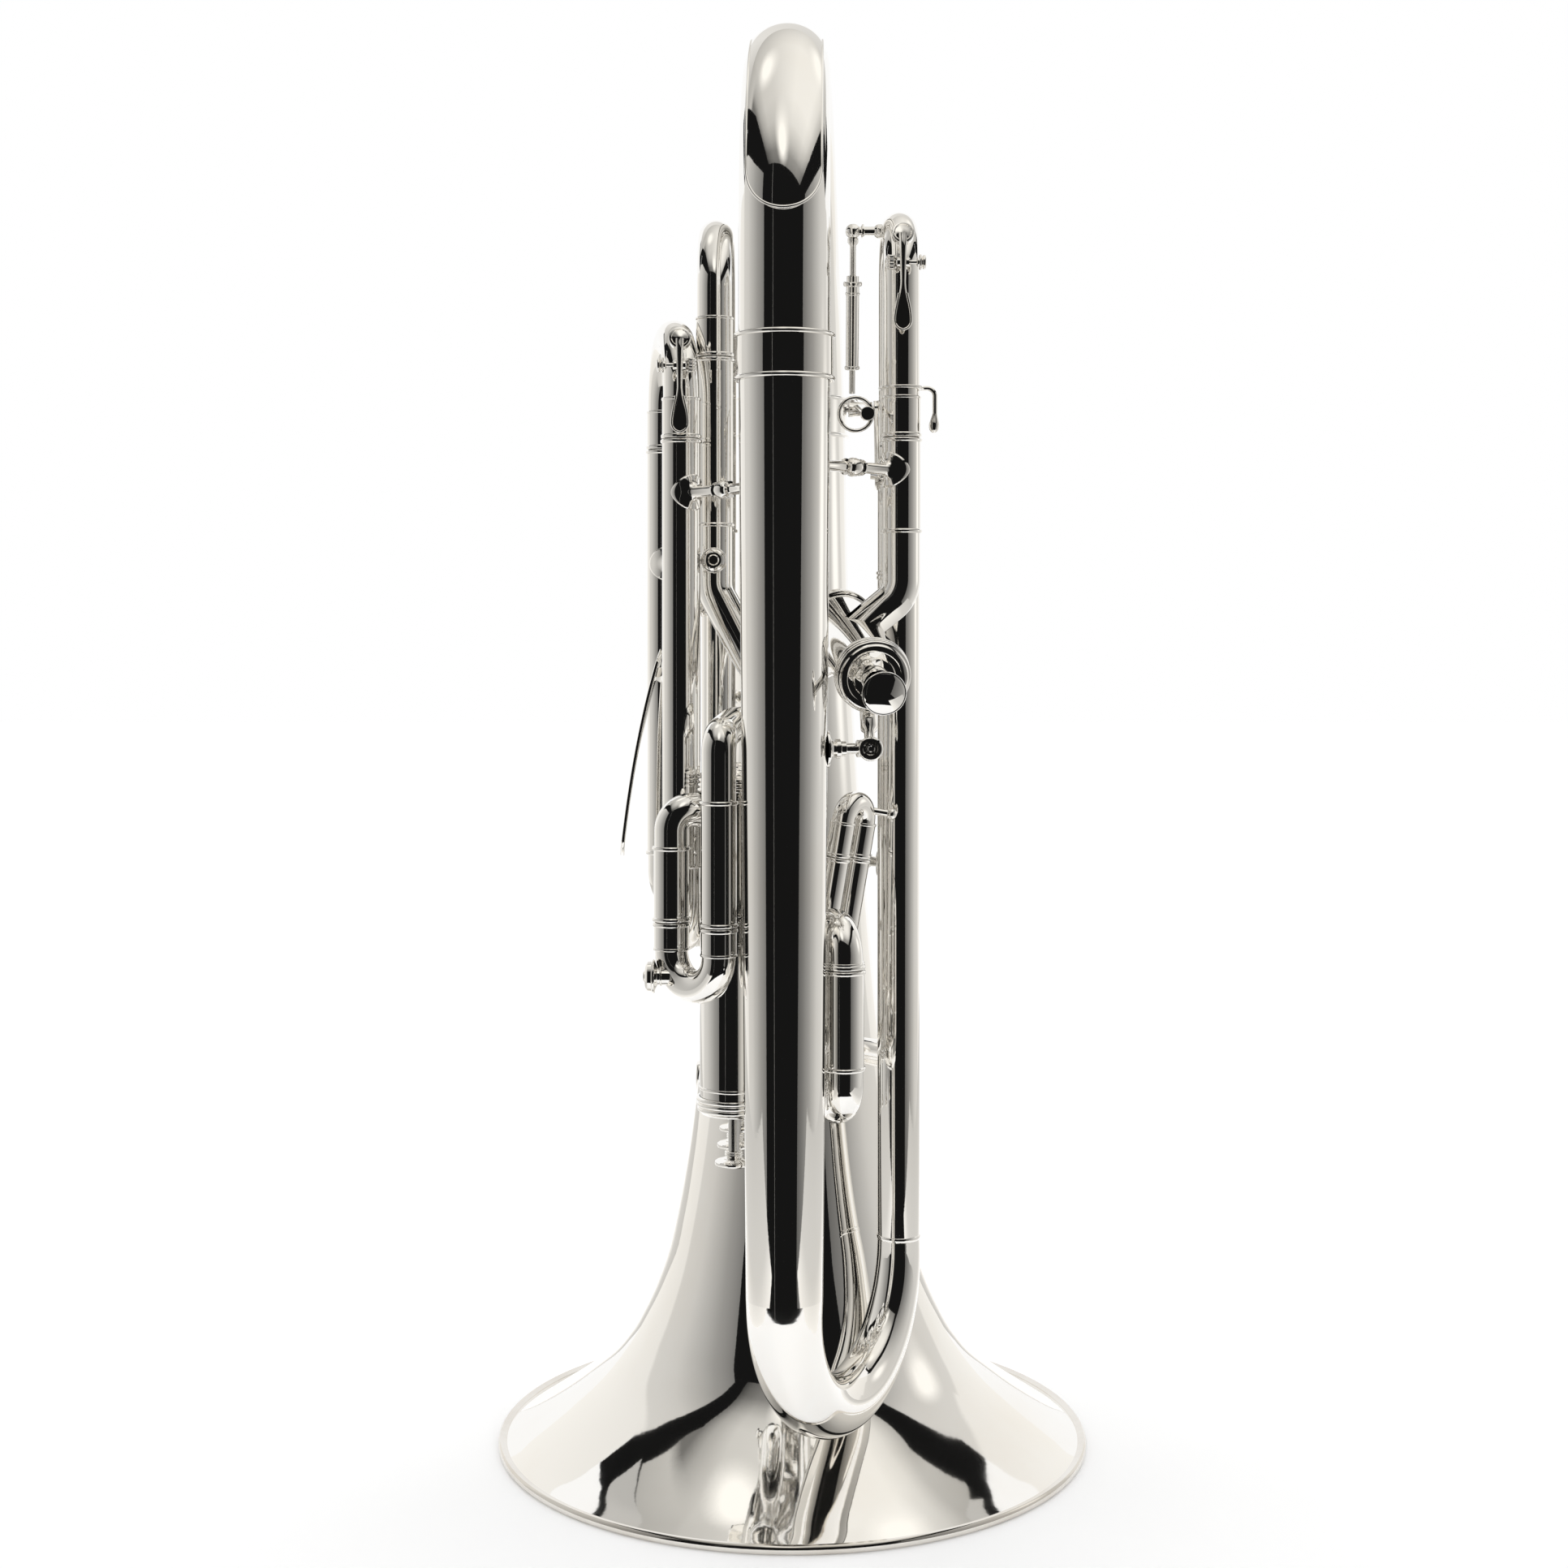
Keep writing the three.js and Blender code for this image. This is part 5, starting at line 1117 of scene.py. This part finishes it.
ROOM = Sizes(side=1.6, front=-3.2, low=-0.9, high=4.0, back=0.45)
TABLE = Sizes(radius=0.43, straight=-0.17, back=9.0, side=9.0, glow=0.1)
LAMPS = Sizes(left=(-0.28, 0.0, 1.15), right=(0.37, 0.24, 1.05), aim=(0, 0, 0.35), short=0.2, long=0.3, watts=0.6)
CAMERA = Sizes(x=-4.2, y=-1126, z=412, focal_pixels=2697, centre_row=780, frame=1932, sensor=36)


def lit(name, colour):
    """A sheet that glows by the number kept at each of its points."""
    material, tree = new_material(name)
    tree.nodes.remove(tree.nodes["Principled BSDF"])
    tones = node(tree, "ShaderNodeSeparateXYZ", Vector=node(tree, "ShaderNodeTexCoord").outputs["UV"])
    light = node(tree, "ShaderNodeEmission", Color=(*colour, 1), Strength=tones.outputs["X"])
    wire(tree, tree.nodes["Material Output"], Surface=light.outputs["Emission"])
    return material


def toned(stops, value):
    """The tone at a place between stops of (place, tone)."""
    return float(np.interp(value, [p for p, _ in stops], [t for _, t in stops]))


def brightened(tone, u, v, glows):
    """A sheet's tone with soft round patches where lamps shine through it."""
    for centre_u, centre_v, radius_u, radius_v in glows:
        far = math.hypot((u - centre_u) / radius_u, (v - centre_v) / radius_v)
        tone = mixed(tone, GLOW_TONE, float(np.clip(1.6 - far * 1.2, 0, 1)) ** 1.5)
    return tone


def stage_mesh(name, points, faces, material, tones=None):
    """A stage piece. tones gives one number a point, kept as its first map coordinate."""
    mesh = bpy.data.meshes.new(name)
    mesh.from_pydata(points, [], faces)
    mesh.materials.append(material)
    if tones:
        layer = mesh.uv_layers.new(name="tones")
        for loop in mesh.loops:
            layer.data[loop.index].uv = (tones[loop.vertex_index], 0)
    made = bpy.data.objects.new(name, mesh)
    bpy.context.scene.collection.objects.link(made)
    return made


def card(name, place_at, tone_at, material, counts=(48, 48)):
    """A sheet over two shares from 0 to 1. Metal mirrors it, but the camera, the table and shadows don't see it."""
    across, along = counts
    points = [place_at(u, v) for v in shares(along) for u in shares(across)]
    row = across + 1
    corners = [j * row + i for j in range(along) for i in range(across)]
    faces = [[c, c + 1, c + row + 1, c + row] for c in corners]
    made = stage_mesh(name, points, faces, material, [tone_at(*p) for p in points])
    made.visible_camera = False
    made.visible_shadow = False
    made.visible_diffuse = False


def make_sheets(grey):
    """The side sheets, of which the right one reaches further forward at its foot, and a lit strip on each side of
    the table."""
    x, low = SHEETS.x, SHEETS.low

    def sheet(name, x, toe, front, back, tops, glows):
        def place_at(u, v):
            y = mixed(mixed(toe, front, v), SHEETS.far, u)
            return (x, y, mixed(low, toned(tops, y), v))

        def tone_at(_, y, z):
            return brightened(toned(SHEET_TONES if y < back else FAR_TONES, y), y, z, glows)

        card(name, place_at, tone_at, grey)

    sheet("left_sheet", -x, SHEETS.left_front, SHEETS.left_front, SHEETS.left_back, LEFT_TOP, ())
    sheet("right_sheet", x, SHEETS.right_toe, SHEETS.right_front, SHEETS.right_back, RIGHT_TOP, (SHEET_GLOW,))
    for name, side in (("left_skirt", -1), ("right_skirt", 1)):
        card(name, lambda u, v: (side * mixed(SKIRT.inner, x, u), mixed(SKIRT.front, SKIRT.back, v), SKIRT.z),
             lambda x, y, z: toned(SKIRT_TONES, abs(x)), grey, (24, 2))


def make_roof():
    """A roof that slopes down to the right."""
    def place_at(u, v):
        y = mixed(ROOF.front, ROOF.back, v)
        across = mixed(toned(ROOF_LEFT, y), toned(ROOF_RIGHT, y), u)
        slope = (ROOF.right_z - ROOF.left_z) / (ROOF.right - ROOF.left)
        return (across, y, ROOF.left_z + (across - ROOF.left) * slope)

    def tone_at(x, y, z):
        across = toned(ROOF_ACROSS, x)
        evened = mixed(across, max(across, 0.6), float(np.clip((y - 0.1) / 0.1, 0, 1)))
        return brightened(evened * toned(ROOF_ALONG, y), x, y, ROOF_GLOWS)

    card("roof_sheet", place_at, tone_at, lit("roof_light", (1, 0.975, 0.92)), (96, 96))


def make_backdrop(grey):
    """A lit strip behind the object, higher than its bow."""
    def place_at(u, v):
        bottom, top = mixed(BACKDROP.left, BACKDROP.right, u), mixed(BACKDROP.left_top, BACKDROP.right_top, u)
        low = mixed(BACKDROP.left_low, BACKDROP.right_low, u)
        return (mixed(bottom, top, v), BACKDROP.y, mixed(low, BACKDROP.high, v))

    card("backdrop", place_at, lambda x, y, z: toned(BACKDROP_TONES, x), grey)


def make_dark_room(grey):
    """Dark walls, ceiling and floor, with one faint slit of light behind the camera, to its left."""
    side, front, low, high, back = ROOM.side, ROOM.front, ROOM.low, ROOM.high, ROOM.back
    far, wall, top = SHEETS.far, BACK_WALL.y, BACK_WALL.high
    dark = lit("dark_room", (1, 1, 1))

    def flat(name, place_at, tone=DARK, material=dark):
        card(name, place_at, lambda *_: tone, material, (1, 1))

    flat("light_slit", lambda u, v: (SLIT.x + SLIT.width * u, SLIT.y, mixed(SLIT.low, SLIT.high, v)), SLIT.tone, grey)
    walls = [
        ((-side, back), (-side, front), low, high), ((-side, front), (side, front), low, high),
        ((side, front), (side, back), low, high),
        ((-side, wall), (BACK_WALL.left_inner, wall), BACK_WALL.left_low, top),
        ((BACK_WALL.right_inner, wall), (side, wall), BACK_WALL.right_low, top),
        ((-side, back), (-side, far), top, high), ((side, back), (side, far), top, high),
    ]
    for i, (a, b, foot, head) in enumerate(walls):
        flat("dark_wall_%d" % i, lambda u, v: (mixed(a[0], b[0], u), mixed(a[1], b[1], u), mixed(foot, head, v)))
    flat("dark_ceiling", lambda u, v: (mixed(-side, side, u), mixed(front, back, v), high))
    flat("dark_floor", lambda u, v: (mixed(-side, side, u), mixed(front, 0.0, v), low))


def maths(tree, operation, a, b):
    made = tree.nodes.new("ShaderNodeMath")
    made.operation = operation
    plug(tree, made.inputs[0], a)
    plug(tree, made.inputs[1], b)
    return made.outputs[0]


def seen_directly(tree):
    """1 for rays from the camera, and for those mirrored or let through, else 0."""
    rays = tree.nodes.new("ShaderNodeLightPath")
    total = rays.outputs["Is Camera Ray"]
    for name in ("Is Glossy Ray", "Is Transmission Ray"):
        total = maths(tree, "MAXIMUM", total, rays.outputs[name])
    return total


def make_table():
    """The white table: it shows white to the camera and in metal, and keeps the object's shadow."""
    side, straight, back, radius = TABLE.side, TABLE.straight, TABLE.back, TABLE.radius
    material, tree = new_material("table_white")
    shader = wire(tree, tree.nodes["Principled BSDF"], Base_Color=(0.97, 0.97, 0.97, 1), Roughness=0.8,
                  Specular_IOR_Level=0.0)
    light = node(tree, "ShaderNodeEmission", Color=(1, 1, 1, 1),
                 Strength=maths(tree, "MULTIPLY", seen_directly(tree), TABLE.glow))
    both = tree.nodes.new("ShaderNodeAddShader")
    plug(tree, both.inputs[0], shader.outputs["BSDF"])
    plug(tree, both.inputs[1], light.outputs["Emission"])
    wire(tree, tree.nodes["Material Output"], Surface=both.outputs["Shader"])
    reach = math.asin(straight / -radius)
    arc = [mixed(math.pi + reach, math.tau - reach, share) for share in shares(TABLE_STEPS)]
    edge = [(radius * math.cos(a), radius * math.sin(a), 0) for a in arc]
    edge += [(side, straight, 0), (side, back, 0), (-side, back, 0), (-side, straight, 0)]
    stage_mesh("table", edge, [list(range(len(edge)))], material)


def make_world():
    world = bpy.data.worlds.new("studio")
    bpy.context.scene.world = world
    world.use_nodes = True
    tree = world.node_tree
    tone = tree.nodes.new("ShaderNodeMix")
    tone.data_type = "RGBA"
    wire(tree, tone, A=(0.95, 0.95, 0.95, 1), B=(1, 1, 1, 1), Factor=seen_directly(tree))
    wire(tree, tree.nodes["Background"], Color=tone.outputs["Result"], Strength=1.0)


def softbox(name, place, width, height):
    """A lamp behind one of the roof's bright patches. The patch stands for it in the metal."""
    data = bpy.data.lights.new(name, "AREA")
    data.shape = "RECTANGLE"
    data.size, data.size_y, data.energy = width, height, LAMPS.watts
    lamp = bpy.data.objects.new(name, data)
    bpy.context.scene.collection.objects.link(lamp)
    lamp.location = place
    lamp.rotation_euler = (Vector(LAMPS.aim) - Vector(place)).to_track_quat("-Z", "Y").to_euler()
    lamp.visible_camera = False
    lamp.visible_glossy = False


def make_stage():
    grey = lit("lit_sheet", (1, 0.98, 0.94))
    make_sheets(grey)
    make_roof()
    make_backdrop(grey)
    make_dark_room(grey)
    make_table()
    make_world()
    softbox("left_box", LAMPS.left, LAMPS.long, LAMPS.short)
    softbox("right_box", LAMPS.right, LAMPS.short, LAMPS.long)


def make_camera():
    data = bpy.data.cameras.new("camera")
    data.sensor_width = CAMERA.sensor
    data.lens = CAMERA.focal_pixels / CAMERA.frame * CAMERA.sensor
    data.shift_y = (CAMERA.centre_row - CAMERA.frame / 2) / CAMERA.frame
    camera = bpy.data.objects.new("camera", data)
    bpy.context.scene.collection.objects.link(camera)
    camera.location = (CAMERA.x * MM, (CAMERA.y + AXIS_SHIFT) * MM, CAMERA.z * MM)
    camera.rotation_euler = (math.pi / 2, 0, 0)
    bpy.context.scene.camera = camera


make_camera()
make_bell()
make_bow()
make_leg()
make_tuning()
make_fourth()
make_upper()
make_third()
make_second()
make_first()
make_valves()
make_mouthpipe()
make_trigger()
make_keys()
make_hand_rest()
make_stage()
bpy.context.scene.view_settings.view_transform = "Standard"
